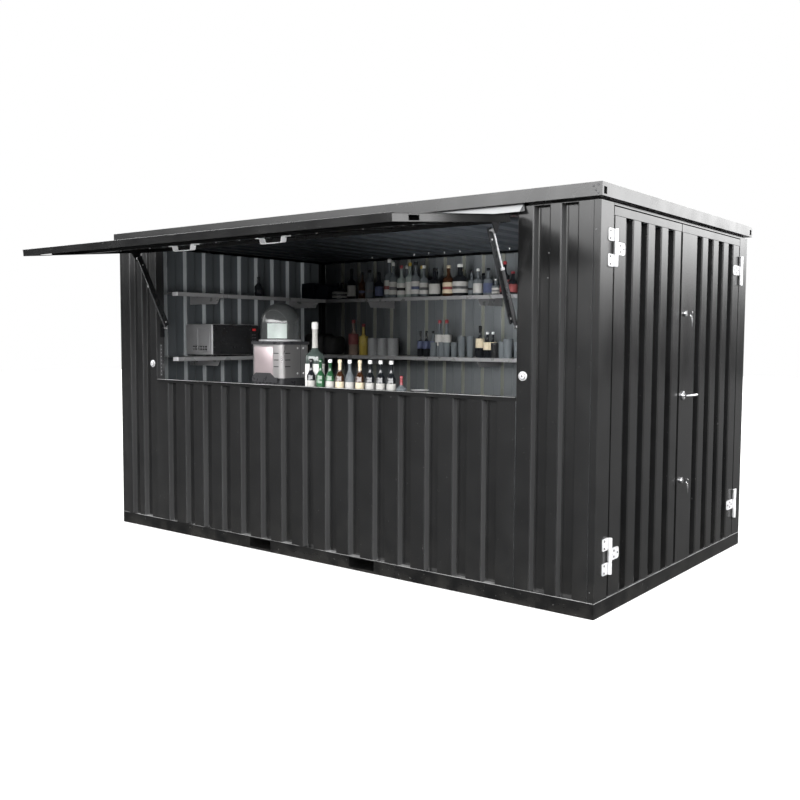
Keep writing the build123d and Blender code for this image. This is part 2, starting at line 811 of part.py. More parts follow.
# Doors: ribbed leaf with folded edges, top rail and foot plate
leaf_spans = {
    "left": (-door_side + door_gap, door_split - leaf_gap / 2),
    "right": (door_split + leaf_gap / 2, door_side - door_gap),
}
for side, (start, end) in leaf_spans.items():
    spare = end - start - leaf_first_groove[side] - leaf_plain_edge[side] - groove_mouth
    steps = [leaf_first_groove[side] + leaf_pitch * step for step in range(int(spare // leaf_pitch) + 1)]
    lips = [start + step for step in steps] if side == "left" else [end - step - groove_mouth for step in steps[::-1]]
    rail_bottom = leaf_top - door_top_rail
    leaf = ribbed_wall(
        "right", leaf_bottom + plate, rail_bottom, start, end, lips, (wall_depth, wall_depth)
    )
    save(leaf, f"door_{side}_leaf")
    with BuildPart() as leaf_rails:
        box_between((right - wall_depth, start, rail_bottom), (right, end, leaf_top))
        inner_low = (right - wall_depth + sheet, start + sheet, rail_bottom + sheet)
        inner_high = (right - sheet, end - sheet, leaf_top - sheet)
        box_between(inner_low, inner_high, Mode.SUBTRACT)
        box_between((right - wall_depth, start, leaf_bottom), (right, end, leaf_bottom + plate))
    save(leaf_rails.part, f"door_{side}_rails")

# Door hinges: two post barrels with a leaf barrel between them, on one pin
door_knuckle = door_hinge_height / 3
hinge_axes = {"left": (-door_side + door_gap / 2, 1), "right": (door_side - door_gap / 2, -1)}


def hinge_section(axis_y, toward, width, z):
    """A knuckle with the flat plate that it is rolled from, in plan."""
    with BuildSketch(Plane.XY.offset(z)) as section:
        with Locations((door_axis_x, axis_y)):
            RegularPolygon(door_barrel_radius, barrel_sides)
        with Locations((right, axis_y)):
            Rectangle(door_hinge_plate, width, align=(Align.MIN, Align.MIN if toward > 0 else Align.MAX))
    return section.sketch


with BuildPart() as hinge_posts:
    for axis_y, toward in hinge_axes.values():
        for middle in hinge_heights:
            low = middle - door_hinge_height / 2
            for z in (low, low + 2 * door_knuckle):
                section = hinge_section(axis_y, -toward, post_plate_width + door_barrel_radius, z)
                extrude(section, amount=door_knuckle)
            with BuildSketch(Plane.XY.offset(low)):
                with Locations((door_axis_x, axis_y)):
                    Circle(door_pin_radius)
            extrude(amount=door_hinge_height)
save(hinge_posts.part, "hinge_posts")

for side, (axis_y, toward) in hinge_axes.items():
    with BuildPart() as leaf_hinges:
        for middle in hinge_heights:
            low = middle - door_knuckle / 2 + door_pin_play
            knuckle = door_knuckle - 2 * door_pin_play
            extrude(hinge_section(axis_y, toward, leaf_plate_width, low), amount=knuckle)
            with BuildSketch(Plane.XY.offset(low)):
                with Locations((door_axis_x, axis_y)):
                    Circle(door_pin_radius + door_pin_play)
            extrude(amount=knuckle, mode=Mode.SUBTRACT)
    save(leaf_hinges.part, f"hinge_leaves_{side}")

# Lever handle with its rose, and the two cylinder locks with their keys
lock_y = door_split + leaf_gap / 2 + lever_from_edge
with BuildPart() as door_locks:
    with BuildSketch(Plane.YZ.offset(right)):
        with Locations((lock_y, lever_z)):
            Circle(rose_radius)
            Circle(lever_neck_radius + door_pin_play, mode=Mode.SUBTRACT)
    extrude(amount=rose_thickness)
    for z in lock_heights:
        with BuildSketch(Plane.YZ.offset(right)):
            with Locations((lock_y, z)):
                Circle(lock_rose_radius)
        extrude(amount=lock_rose_thickness)
        with BuildSketch(Plane.XZ.offset(-lock_y - key_thickness / 2)):
            with Locations((right + lock_rose_thickness, z)):
                Rectangle(key_shank, key_width, align=(Align.MIN, Align.CENTER))
            with Locations((right + lock_rose_thickness + key_shank, z)):
                Rectangle(key_bow, key_bow, align=(Align.MIN, Align.CENTER))
        extrude(amount=key_thickness)
save(door_locks.part, "door_locks")

with BuildPart() as door_lever:
    with BuildSketch(Plane.YZ.offset(right + 1)):
        with Locations((lock_y, lever_z)):
            Circle(lever_neck_radius)
    extrude(amount=lever_reach - lever_bar / 2)
    bar_low = (right + lever_reach - lever_bar, lock_y - lever_neck_radius, lever_z - lever_neck_radius)
    bar_high = (right + lever_reach, lock_y + lever_length, lever_z + lever_neck_radius)
    box_between(bar_low, bar_high)
    ends = door_lever.edges().filter_by(Axis.Z).group_by(Axis.X)[-1]
    fillet(ends, radius=lever_bar * 0.4)
save(door_lever.part, "door_lever")

# Counter behind the serving opening, on gusset brackets
with BuildPart() as counter:
    low_corner = (left + wall_depth, front + jamb_depth, counter_top - counter_thickness)
    box_between(low_corner, (opening_right, front + jamb_depth + counter_depth, counter_top))
save(counter.part, "counter")


def gusset(corner, outward, side_dir, reach, drop):
    """A bracket plate under a shelf, with a slanted front edge."""
    with BuildSketch(Plane(origin=corner, x_dir=outward, z_dir=side_dir)) as outline:
        with BuildLine():
            Polyline((0, 0), (reach, 0), (reach - bracket_slant, -drop), (0, -drop), close=True)
        make_face()
    return outline.sketch


with BuildPart() as counter_brackets:
    for step in range(counter_bracket_count):
        x = opening_left + opening_width * (step + 0.5) / counter_bracket_count
        corner = (x, front + wall_depth, counter_top - counter_thickness)
        section = gusset(corner, (0, 1, 0), (1, 0, 0), counter_depth, counter_bracket_drop)
        extrude(section, amount=bracket_plate)
save(counter_brackets.part, "counter_brackets")

# Shelves with a turned-down front lip, on gusset brackets
with BuildPart() as back_shelves:
    for top in shelf_heights:
        with BuildSketch(Plane.YZ.offset(inner_left)):
            with Locations((inner_back, top)):
                Rectangle(shelf_depth, sheet, align=Align.MAX)
            with Locations((inner_back - shelf_depth, top)):
                Rectangle(sheet, shelf_lip, align=(Align.MIN, Align.MAX))
        extrude(amount=back_shelf_length)
save(back_shelves.part, "back_shelves")

with BuildPart() as left_shelves:
    for top in shelf_heights:
        with BuildSketch(Plane.XZ.offset(-(inner_back - shelf_depth))):
            with Locations((inner_left, top)):
                Rectangle(shelf_depth, sheet, align=(Align.MIN, Align.MAX))
            with Locations((inner_left + shelf_depth, top)):
                Rectangle(sheet, shelf_lip, align=Align.MAX)
        extrude(amount=inner_back - shelf_depth - front - left_shelf_start)
save(left_shelves.part, "left_shelves")

with BuildPart() as shelf_brackets:
    for top in shelf_heights:
        for place in back_brackets_from_left:
            corner = (inner_left + place, inner_back, top - sheet)
            extrude(gusset(corner, (0, -1, 0), (-1, 0, 0), shelf_bracket_reach, bracket_drop), amount=bracket_plate)
        for place in left_brackets_from_front:
            corner = (inner_left, front + place, top - sheet)
            extrude(gusset(corner, (1, 0, 0), (0, -1, 0), shelf_bracket_reach, bracket_drop), amount=bracket_plate)
save(shelf_brackets.part, "shelf_brackets")

# Bottles on the counter: a row of small ones, a large one and a flask
sill_inner = front + jamb_depth


def bottle(place, radius, neck, height, body, shoulder):
    """A bottle of flat facets: its body and shoulder end at these shares of the height."""
    slope = atan2((radius - neck) * cos(pi / bottle_sides), height * (shoulder - body))
    with BuildPart() as glass:
        levels = [place + Vector(0, 0, height * share) for share in (0, body, shoulder)]
        if body:
            with BuildSketch(Plane(levels[0])):
                RegularPolygon(radius, bottle_sides)
            extrude(amount=height * body)
        with BuildSketch(Plane(levels[1])):
            RegularPolygon(radius, bottle_sides)
        extrude(amount=height * (shoulder - body), taper=degrees(slope))
        with BuildSketch(Plane(levels[2])):
            RegularPolygon(neck, bottle_sides)
        extrude(amount=height * (1 - shoulder))
    return glass.part


row_y = sill_inner + bottle_row_from_sill
bottles = []
for step in range(bottle_count):
    place = Vector(opening_left + first_bottle_from_opening + bottle_pitch * step, row_y, counter_top)
    bottles.append(bottle(place, bottle_radius, bottle_neck, bottle_height, 0.5, 0.72))
place = Vector(opening_left + large_bottle_from_opening, sill_inner + large_bottle_from_sill, counter_top)
bottles.append(bottle(place, large_bottle_radius, large_bottle_neck, large_bottle_height, 0.58, 0.72))
place = Vector(opening_left + flask_from_opening, row_y, counter_top)
bottles.append(bottle(place, flask_radius, flask_neck, flask_height, 0, 0.8))
with BuildPart() as counter_bottles:
    for glass in bottles:
        add(glass)
save(counter_bottles.part, "counter_bottles")

# Draught dispenser on the counter: a cased cooler on a recessed foot, under a dome
dispenser_x = opening_left + dispenser_from_opening
dispenser_y = sill_inner + dispenser_from_sill
band_size = (dispenser_width + 2 * dispenser_band_proud, dispenser_depth + 2 * dispenser_band_proud)
foot_size = (dispenser_width - 2 * dispenser_foot_inset, dispenser_depth - 2 * dispenser_foot_inset)
dispenser_layers = (
    (foot_size, dispenser_foot, dispenser_corner / 2),
    ((dispenser_width, dispenser_depth), dispenser_case, dispenser_corner),
    (band_size, dispenser_band, dispenser_corner + dispenser_band_proud),
)
with BuildPart() as dispenser_body:
    level = counter_top
    for size, layer, corner in dispenser_layers:
        with BuildSketch(Plane.XY.offset(level)):
            with Locations((dispenser_x, dispenser_y)):
                RectangleRounded(*size, corner)
        extrude(amount=layer)
        level += layer
save(dispenser_body.part, "dispenser_body")

with BuildPart() as dispenser_dome:
    spring = level + dome_ring + dome_height - dome_radius
    with BuildSketch(Plane.XY.offset(level)):
        with Locations((dispenser_x, dispenser_y)):
            Circle(dome_ring_radius)
    extrude(amount=dome_ring)
    with BuildSketch(Plane.XY.offset(level + dome_ring)):
        with Locations((dispenser_x, dispenser_y)):
            RegularPolygon(dome_radius, dome_sides)
    extrude(amount=spring - level - dome_ring)
    rise = dome_radius / sin(radians(dome_crown))
    turns = [radians(dome_crown * step / dome_bands) for step in range(dome_bands + 1)]
    for lower, upper in zip(turns, turns[1:]):
        inward = dome_radius * (cos(lower) - cos(upper)) * cos(pi / dome_sides)
        band = rise * (sin(upper) - sin(lower))
        with BuildSketch(Plane.XY.offset(spring + rise * sin(lower))):
            with Locations((dispenser_x, dispenser_y)):
                RegularPolygon(dome_radius * cos(lower), dome_sides)
        extrude(amount=band, taper=degrees(atan2(inward, band)))
save(dispenser_dome.part, "dispenser_dome")

# Microwave oven on the lower left shelf, its door towards the room
with BuildPart() as microwave:
    wall_face = inner_left + microwave_from_wall
    oven_front = wall_face + microwave_depth
    near, far = front + microwave_from_front, front + microwave_from_front + microwave_width
    case_bottom = lower_shelf_z + microwave_foot
    case_top = lower_shelf_z + microwave_height
    box_between((wall_face, near, case_bottom), (oven_front - microwave_door, far, case_top))
    door_low = (oven_front - microwave_door, near + microwave_door_inset, case_bottom + microwave_door_inset)
    box_between(door_low, (oven_front, far - microwave_panel, case_top - microwave_door_inset))
    for x in (wall_face + microwave_foot_inset, oven_front - 3 * microwave_foot_inset):
        for y in (near + microwave_foot_inset, far - microwave_foot_inset - microwave_foot_width):
            foot_high = (x + microwave_foot_width, y + microwave_foot_width, case_bottom)
            box_between((x, y, lower_shelf_z), foot_high)
save(microwave.part, "microwave")
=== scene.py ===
# A container bar: dark ribbed steel cabin with a lifting serving flap, two gas struts and double end doors
import json

import bpy
import bmesh
import numpy as np
from mathutils import Matrix, Vector


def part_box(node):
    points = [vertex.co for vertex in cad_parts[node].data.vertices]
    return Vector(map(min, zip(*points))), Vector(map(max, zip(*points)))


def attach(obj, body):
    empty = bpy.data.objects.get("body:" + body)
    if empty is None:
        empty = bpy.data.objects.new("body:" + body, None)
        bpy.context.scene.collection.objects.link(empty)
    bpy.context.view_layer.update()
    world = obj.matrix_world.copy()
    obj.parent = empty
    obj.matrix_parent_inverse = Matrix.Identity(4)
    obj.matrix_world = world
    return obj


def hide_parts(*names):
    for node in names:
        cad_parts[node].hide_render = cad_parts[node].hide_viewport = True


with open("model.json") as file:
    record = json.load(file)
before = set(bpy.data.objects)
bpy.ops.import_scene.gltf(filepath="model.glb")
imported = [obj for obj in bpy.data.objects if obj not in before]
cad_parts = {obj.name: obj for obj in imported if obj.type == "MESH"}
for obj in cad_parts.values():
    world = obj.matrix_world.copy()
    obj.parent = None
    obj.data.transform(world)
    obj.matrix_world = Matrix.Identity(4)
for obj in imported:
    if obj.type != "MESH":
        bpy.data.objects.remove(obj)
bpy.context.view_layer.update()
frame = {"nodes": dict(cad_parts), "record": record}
nodes = frame["nodes"]
print("frame loaded:", len(nodes), "nodes")

scene = bpy.context.scene
scene.view_settings.view_transform = "Standard"


# Camera, at the photograph's viewing angle
cameraPlan = {
    "place": (4.054, -5.386, 1.446),
    "yaw": -38.02,      # degrees from +Y, to the left
    "pitch": -3.92,
    "roll": 0.28,
    "lens": 41.2,
}


def makeCamera(plan):
    # a camera at its place, turned about Z by the yaw, tilted by the pitch and rolled about its own axis
    data = bpy.data.cameras.new("camera")
    data.lens = plan["lens"]
    data.clip_end = 200
    camera = bpy.data.objects.new("camera", data)
    scene.collection.objects.link(camera)
    turn = Matrix.Rotation(np.radians(-plan["yaw"]), 4, "Z")
    tilt = Matrix.Rotation(np.radians(90 + plan["pitch"]), 4, "X")
    roll = Matrix.Rotation(np.radians(plan["roll"]), 4, "Z")
    camera.matrix_world = Matrix.Translation(plan["place"]) @ turn @ tilt @ roll
    scene.camera = camera


makeCamera(cameraPlan)

# Studio: a pale floor, white surroundings, a ring of soft light above the horizon, and four lamps
studioPlan = {
    "floorSize": 60,
    "floorColour": (0.80, 0.80, 0.80, 1),   # as the camera sees it
    "floorReflected": (0.05, 0.05, 0.05, 1),
    "floorGlow": 0.30,
    # sine of the elevation and the light there, towards the front and towards the back
    "frontRing": (
        (-0.30, 0.14), (-0.06, 0.05), (0.065, 0.13), (0.10, 0.6), (0.150, 4.3), (0.36, 4.3), (0.55, 0.8),
    ),
    "backRing": (
        (-0.30, 0.02), (-0.06, 0.05), (-0.02, 0.08), (0.03, 0.35), (0.06, 1.1), (0.115, 4.9), (0.36, 4.9),
        (0.55, 0.8),
    ),
    "shares": (0.12, 2.15),  # the front light's strength at the far left, and from nearer the middle on
    "lamps": (
        # name, place, aimed at, width, height, watts, spread in degrees, for some pieces only
        ("keyLamp", (9.0, -4.2, 5.6), (0.6, -0.4, 1.0), 4.0, 3.0, 120, 180, False),
        ("fillLamp", (-3.0, -8.0, 6.5), (0, 0, 1.0), 4.0, 3.0, 60, 180, False),
        ("wallLamp", (0.9, -2.2, 1.40), (0.60, 1.1, 1.60), 1.0, 0.8, 20, 62, True),
        ("shelfLamp", (1.3, -3.3, 1.45), (-1.9, 0.1, 1.50), 1.0, 0.8, 15, 70, True),
    ),
}


def addNode(tree, kind, inputs=None, **settings):
    # a shader node with its settings and the values of its inputs
    node = tree.nodes.new(kind)
    for name, value in settings.items():
        setattr(node, name, value)
    for name, value in (inputs or {}).items():
        node.inputs[name].default_value = value
    return node


def joinNodes(tree, *links):
    # links each output socket to its input socket
    for fromSocket, toSocket in links:
        tree.links.new(fromSocket, toSocket)


def ringNodes(tree, height, ring):
    # light as a piecewise straight line of the sine of the elevation; returns the socket that gives it
    lowest, highest = ring[0][0], ring[-1][0]
    most = max(light for sine, light in ring)
    span = addNode(tree, "ShaderNodeMapRange", {"From Min": lowest, "From Max": highest})
    ramp = addNode(tree, "ShaderNodeValToRGB")
    stops = ramp.color_ramp.elements
    stops.remove(stops[1])
    for step, (sine, light) in enumerate(ring):
        stop = stops[0] if step == 0 else stops.new((sine - lowest) / (highest - lowest))
        stop.color = (light / most, light / most, light / most, 1)
    scaled = addNode(tree, "ShaderNodeMath", {1: most}, operation="MULTIPLY")
    joinNodes(
        tree,
        (height, span.inputs["Value"]),
        (span.outputs["Result"], ramp.inputs["Fac"]),
        (ramp.outputs["Color"], scaled.inputs[0]),
    )
    return scaled.outputs[0]


def makeWorld(plan):
    # the camera and clear glass see white; other rays see a ring of light, brightest low above the horizon
    world = bpy.data.worlds.new("surroundings")
    scene.world = world
    world.use_nodes = True
    tree = world.node_tree
    background = tree.nodes["Background"]
    background.inputs["Color"].default_value = (1, 1, 1, 1)
    direction = addNode(tree, "ShaderNodeTexCoord")
    parts = addNode(tree, "ShaderNodeSeparateXYZ")
    frontToBack = addNode(tree, "ShaderNodeMapRange", {"From Min": -0.5, "From Max": 0.5})
    leftToRight = addNode(
        tree, "ShaderNodeMapRange",
        {"From Min": -0.85, "From Max": -0.40, "To Min": plan["shares"][0], "To Max": plan["shares"][1]},
    )
    frontLight = addNode(tree, "ShaderNodeMath", operation="MULTIPLY")
    around = addNode(tree, "ShaderNodeMix")
    path = addNode(tree, "ShaderNodeLightPath")
    seen = addNode(tree, "ShaderNodeMath", operation="MAXIMUM")
    strength = addNode(tree, "ShaderNodeMix", {"B": 1.0})
    joinNodes(
        tree,
        (direction.outputs["Generated"], parts.inputs[0]),
        (parts.outputs["Y"], frontToBack.inputs["Value"]),
        (parts.outputs["X"], leftToRight.inputs["Value"]),
        (frontToBack.outputs["Result"], around.inputs["Factor"]),
        (ringNodes(tree, parts.outputs["Z"], plan["frontRing"]), frontLight.inputs[0]),
        (leftToRight.outputs["Result"], frontLight.inputs[1]),
        (frontLight.outputs[0], around.inputs["A"]),
        (ringNodes(tree, parts.outputs["Z"], plan["backRing"]), around.inputs["B"]),
        (path.outputs["Is Camera Ray"], seen.inputs[0]),
        (path.outputs["Is Transmission Ray"], seen.inputs[1]),
        (seen.outputs[0], strength.inputs["Factor"]),
        (around.outputs["Result"], strength.inputs["A"]),
        (strength.outputs["Result"], background.inputs["Strength"]),
    )


def makeFloor(plan):
    # a flat square, pale to the camera and dark grey in the paint's reflections
    half = plan["floorSize"] / 2
    corners = [(-half, -half, 0), (half, -half, 0), (half, half, 0), (-half, half, 0)]
    mesh = bpy.data.meshes.new("floor")
    mesh.from_pydata(corners, [], [(0, 1, 2, 3)])
    floor = bpy.data.objects.new("floor", mesh)
    scene.collection.objects.link(floor)
    paint = bpy.data.materials.new("floorPaint")
    paint.use_nodes = True
    tree = paint.node_tree
    shader = tree.nodes["Principled BSDF"]
    shader.inputs["Roughness"].default_value = 0.9
    shader.inputs["Emission Color"].default_value = (1, 1, 1, 1)
    path = addNode(tree, "ShaderNodeLightPath")
    colour = addNode(tree, "ShaderNodeMix", data_type="RGBA")
    colour.inputs["A"].default_value = plan["floorReflected"]
    colour.inputs["B"].default_value = plan["floorColour"]
    glow = addNode(tree, "ShaderNodeMath", {1: plan["floorGlow"]}, operation="MULTIPLY")
    joinNodes(
        tree,
        (path.outputs["Is Camera Ray"], colour.inputs["Factor"]),
        (colour.outputs["Result"], shader.inputs["Base Color"]),
        (path.outputs["Is Camera Ray"], glow.inputs[0]),
        (glow.outputs[0], shader.inputs["Emission Strength"]),
    )
    mesh.materials.append(paint)


receivers = {}


def makeLamps(plan):
    # a rectangular lamp for each row, turned from its place to its aim; a chosen one has its own receivers
    for name, place, target, width, height, watts, spread, chosen in plan["lamps"]:
        lamp = bpy.data.lights.new(name, "AREA")
        lamp.shape = "RECTANGLE"
        lamp.size, lamp.size_y, lamp.energy, lamp.spread = width, height, watts, np.radians(spread)
        holder = bpy.data.objects.new(name, lamp)
        scene.collection.objects.link(holder)
        holder.location = place
        holder.rotation_euler = (Vector(target) - Vector(place)).to_track_quat("-Z", "Y").to_euler()
        holder.visible_camera = False
        if chosen:
            receivers[name] = bpy.data.collections.new(name + "Receivers")
            holder.visible_glossy = False
            holder.light_linking.receiver_collection = receivers[name]


makeWorld(studioPlan)
makeFloor(studioPlan)
makeLamps(studioPlan)
print("camera and studio ready")


# Shells: whole arrays of points, groups of faces as arrays of point numbers, and each group's finish number
def signedVolume(points, faces):
    # six times the volume, added up from the tetrahedra between the origin and each face's fan of triangles
    total = 0.0
    for rows in faces:
        first = points[rows[:, 0]]
        for step in range(1, rows.shape[1] - 1):
            total += np.einsum("ij,ij->", first, np.cross(points[rows[:, step]], points[rows[:, step + 1]]))
    return total


def makeShell(points, faces, marks=None, bend=None):
    # a shell with all its faces outwards: they are turned round if its volume comes out negative
    points = np.asarray(points, float)
    faces = [np.atleast_2d(np.asarray(rows, int)) for rows in faces]
    if signedVolume(points - points.mean(0), faces) < 0:
        faces = [rows[:, ::-1] for rows in faces]
    bend = np.zeros(len(points)) if bend is None else bend
    return {"points": points, "faces": faces, "marks": list(marks or [0] * len(faces)), "bend": bend}


def gridShell(rings, marks=(0, 0, 0), inner=None, bend=None):
    # rings[i, j] is place j round ring i: a quad joins each four neighbours, and a flat cap shuts each end;
    # inner gives each place round a ring its own finish number
    rings = np.asarray(rings, float)
    count, around = rings.shape[:2]
    number = np.arange(count * around).reshape(count, around)
    beside = np.roll(number, -1, 1)
    quads = np.stack((number[:-1], beside[:-1], beside[1:], number[1:]), -1)
    caps = [number[0][::-1], number[-1]]
    if inner is None:
        return makeShell(rings.reshape(-1, 3), [quads.reshape(-1, 4), *caps], marks, bend)
    kinds = np.unique(inner)
    sides = [quads[:, inner == kind].reshape(-1, 4) for kind in kinds]
    return makeShell(rings.reshape(-1, 3), [*sides, *caps], [*kinds.tolist(), *marks[-2:]], bend)


def roundCorners(points, radius, steps=3, closed=True):
    # each corner becomes a quadratic curve between two points set back from it along its sides
    points = np.asarray(points, float)
    toBefore, toAfter = np.roll(points, 1, 0) - points, np.roll(points, -1, 0) - points
    before, after = np.linalg.norm(toBefore, axis=1), np.linalg.norm(toAfter, axis=1)
    setBack = np.minimum(radius, 0.45 * np.minimum(before, after))
    start = points + toBefore * (setBack / before)[:, None]
    end = points + toAfter * (setBack / after)[:, None]
    share = np.linspace(0, 1, steps + 1)[None, :, None]
    rest = 1 - share
    curve = rest**2 * start[:, None] + 2 * share * rest * points[:, None] + share**2 * end[:, None]
    if closed:
        return curve.reshape(-1, points.shape[1])
    return np.concatenate((points[:1], curve[1:-1].reshape(-1, points.shape[1]), points[-1:]))


def sideways(path):
    # the unit vector to the left of an open path at each of its points
    ahead = np.gradient(path, axis=0)
    ahead /= np.linalg.norm(ahead, axis=1)[:, None]
    return np.stack((-ahead[:, 1], ahead[:, 0]), -1)


def thicken(path, thickness):
    # an open path and its copy set over to the left by the sheet's thickness make a closed outline
    return np.concatenate((path, (path + thickness * sideways(path))[::-1]))


def bendOf(outline):
    # how sharply a closed outline turns at each point, from 0 on a flat to 1 in a fold
    before, after = outline - np.roll(outline, 1, 0), np.roll(outline, -1, 0) - outline
    cross = before[:, 0] * after[:, 1] - before[:, 1] * after[:, 0]
    dot = np.einsum("ij,ij->i", before, after)
    return np.clip(np.abs(np.arctan2(cross, dot)) / 0.35, 0, 1)


def carry(outline, start, stop, origin, u, v, w, marks=(0, 0, 0), inner=None):
    # a closed outline in the plane of u and v is carried straight along w from start to stop
    u, v, w, origin = (np.asarray(axis, float) for axis in (u, v, w, origin))
    flat = origin + outline[:, :1] * u + outline[:, 1:2] * v
    rings = np.stack([flat + w * place for place in (start, stop)])
    return gridShell(rings, marks, inner, np.tile(bendOf(outline), 2))


def turnedRings(profile, place, sides, across, other, along):
    # a ring of points round an axis for each radius and height; their numbers, and the next points' numbers
    profile = np.asarray(profile, float)
    around = 2 * np.pi * np.arange(sides) / sides
    ring = np.outer(np.cos(around), across) + np.outer(np.sin(around), other)
    rings = profile[:, 0, None, None] * ring + profile[:, 1, None, None] * np.asarray(along, float)
    number = np.arange(len(profile) * sides).reshape(len(profile), sides)
    return rings + np.asarray(place, float), number, np.roll(number, -1, 1)


def turnShell(profile, place, sides=20, marks=None, across=(1, 0, 0), other=(0, 1, 0), along=(0, 0, 1)):
    # a profile of radius and height is turned round an axis; each band of it may have its own finish
    rings, number, beside = turnedRings(profile, place, sides, across, other, along)
    quads = np.stack((number[:-1], beside[:-1], beside[1:], number[1:]), -1)
    marks = [0] * (len(profile) - 1) if marks is None else list(marks)
    faces = [*quads, number[0][::-1], number[-1]]
    return makeShell(rings.reshape(-1, 3), faces, [*marks, marks[0], marks[-1]])


def blockShell(low, high, radius, steps=2):
    # a box with round edges: quarter circles round four corner centres, drawn in towards both ends
    low, high = np.asarray(low, float), np.asarray(high, float)
    turns = np.linspace(0.12, 1, steps + 1) * np.pi / 2
    quarter = np.linspace(0, np.pi / 2, steps + 1)
    signs = np.array(((1, 1), (-1, 1), (-1, -1), (1, -1)))
    centres = np.repeat(np.where(signs > 0, high[:2] - radius, low[:2] + radius), steps + 1, axis=0)
    angles = (np.arange(4)[:, None] * np.pi / 2 + quarter).ravel()
    out = np.stack((np.cos(angles), np.sin(angles)), -1)
    reach = radius * np.concatenate((np.sin(turns), np.sin(turns)[::-1]))
    lift = radius * (1 - np.cos(turns))
    level = np.concatenate((low[2] + lift, high[2] - lift[::-1]))
    plan = centres[None] + reach[:, None, None] * out[None]
    rings = np.concatenate((plan, np.broadcast_to(level[:, None, None], (*plan.shape[:2], 1))), -1)
    return gridShell(rings)


def tubeShell(path, radius, sides=10, closed=False):
    # a circle is carried along a path of points, square to it; one axis of it is square to a fixed axis too
    path = np.asarray(path, float)
    ahead = (np.roll(path, -1, 0) - np.roll(path, 1, 0)) if closed else np.gradient(path, axis=0)
    ahead /= np.linalg.norm(ahead, axis=1)[:, None]
    up = np.eye(3)[np.argmin(np.abs(ahead).max(0))]
    first = np.cross(ahead, up)
    first /= np.linalg.norm(first, axis=1)[:, None]
    second = np.cross(ahead, first)
    around = 2 * np.pi * np.arange(sides) / sides
    circle = np.cos(around)[:, None] * first[:, None] + np.sin(around)[:, None] * second[:, None]
    rings = path[:, None] + radius * circle
    if not closed:
        return gridShell(rings)
    number = np.arange(len(path) * sides).reshape(len(path), sides)
    ahead, beside = np.roll(number, -1, 0), np.roll(number, -1, 1)
    quads = np.stack((number, beside, np.roll(ahead, -1, 1), ahead), -1).reshape(-1, 4)
    return makeShell(rings.reshape(-1, 3), [quads])


def spread(shell, offsets):
    # copies of one shell at many offsets, as one shell
    offsets = np.asarray(offsets, float).reshape(-1, 3)
    count, size = len(offsets), len(shell["points"])
    shift = (np.arange(count) * size)[:, None, None]
    return {
        "points": (shell["points"][None] + offsets[:, None]).reshape(-1, 3),
        "faces": [(rows[None] + shift).reshape(-1, rows.shape[1]) for rows in shell["faces"]],
        "marks": shell["marks"],
        "bend": np.tile(shell["bend"], count),
    }


def marked(shell, number):
    # the shell with one finish number on all its faces
    return {**shell, "marks": [number] * len(shell["marks"])}


def makePiece(name, shells, body, finishNames, stands=(), sharp=38, flat=False):
    # joins shells into one mesh, smooth across its soft bends, and rides it on a body
    points, bends, faces, marks, base = [], [], [], [], 0
    for shell in shells:
        points.append(shell["points"])
        bends.append(shell["bend"])
        for mark, rows in zip(shell["marks"], shell["faces"]):
            faces += (rows + base).tolist()
            marks += [mark] * len(rows)
        base += len(shell["points"])
    mesh = bpy.data.meshes.new(name)
    mesh.from_pydata(np.concatenate(points).tolist(), [], faces)
    mesh.polygons.foreach_set("material_index", marks)
    mesh.polygons.foreach_set("use_smooth", [True] * len(faces))
    mesh.set_sharp_from_angle(angle=np.radians(sharp))
    bend = mesh.attributes.new("bend", "FLOAT", "POINT")
    bend.data.foreach_set("value", np.concatenate(bends).astype(np.float32))
    piece = finishPiece(name, mesh, body, finishNames, stands)
    if flat:
        # broad faces keep their own normal, so only the bends between them shade as round
        flatten = piece.modifiers.new("flatten", "WEIGHTED_NORMAL")
        flatten.weight, flatten.keep_sharp = 100, True
    return piece


def finishPiece(name, mesh, body, finishNames, stands=(), bevel=None):
    # an object of the mesh with its finishes, riding on its body; stands are the nodes it replaces, which it
    # hides
    for finishName in finishNames:
        mesh.materials.append(finishes[finishName])
    piece = bpy.data.objects.new(name, mesh)
    scene.collection.objects.link(piece)
    if bevel:
        soften = piece.modifiers.new("soften", "BEVEL")
        soften.width, soften.segments, soften.limit_method = bevel, 2, "ANGLE"
        soften.angle_limit = np.radians(30)
        soften.harden_normals = True
    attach(piece, body)
    if stands:
        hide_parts(*stands)
    return piece


bodyRows = frame["record"]["behaviour"]["bodies"]
bodyOf = {nodeName: bodyName for bodyName, nodeNames in bodyRows.items() for nodeName in nodeNames}


def softCopy(nodeName, finishName, bevel):
    # a CAD node's own form with its doubles merged and its edges rounded, in place of the sharp one
    source = nodes[nodeName]
    work = bmesh.new()
    work.from_mesh(source.data)
    work.transform(source.matrix_world)
    bmesh.ops.remove_doubles(work, verts=work.verts, dist=1e-5)
    bmesh.ops.dissolve_limit(work, angle_limit=np.radians(0.5), verts=work.verts, edges=work.edges)
    mesh = bpy.data.meshes.new(nodeName + "_soft")
    work.to_mesh(mesh)
    work.free()
    mesh.polygons.foreach_set("use_smooth", [True] * len(mesh.polygons))
    mesh.set_sharp_from_angle(angle=np.radians(30))
    finishPiece(nodeName + "_soft", mesh, bodyOf[nodeName], [finishName], [nodeName], bevel)


def softCopies(finishName, bevel, *nodeNames):
    # soft copies of several nodes, with one finish and one edge width
    for nodeName in nodeNames:
        softCopy(nodeName, finishName, bevel)


def boxOf(nodeName):
    # a node's low corner and high corner
    return np.array(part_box(nodeName), float)


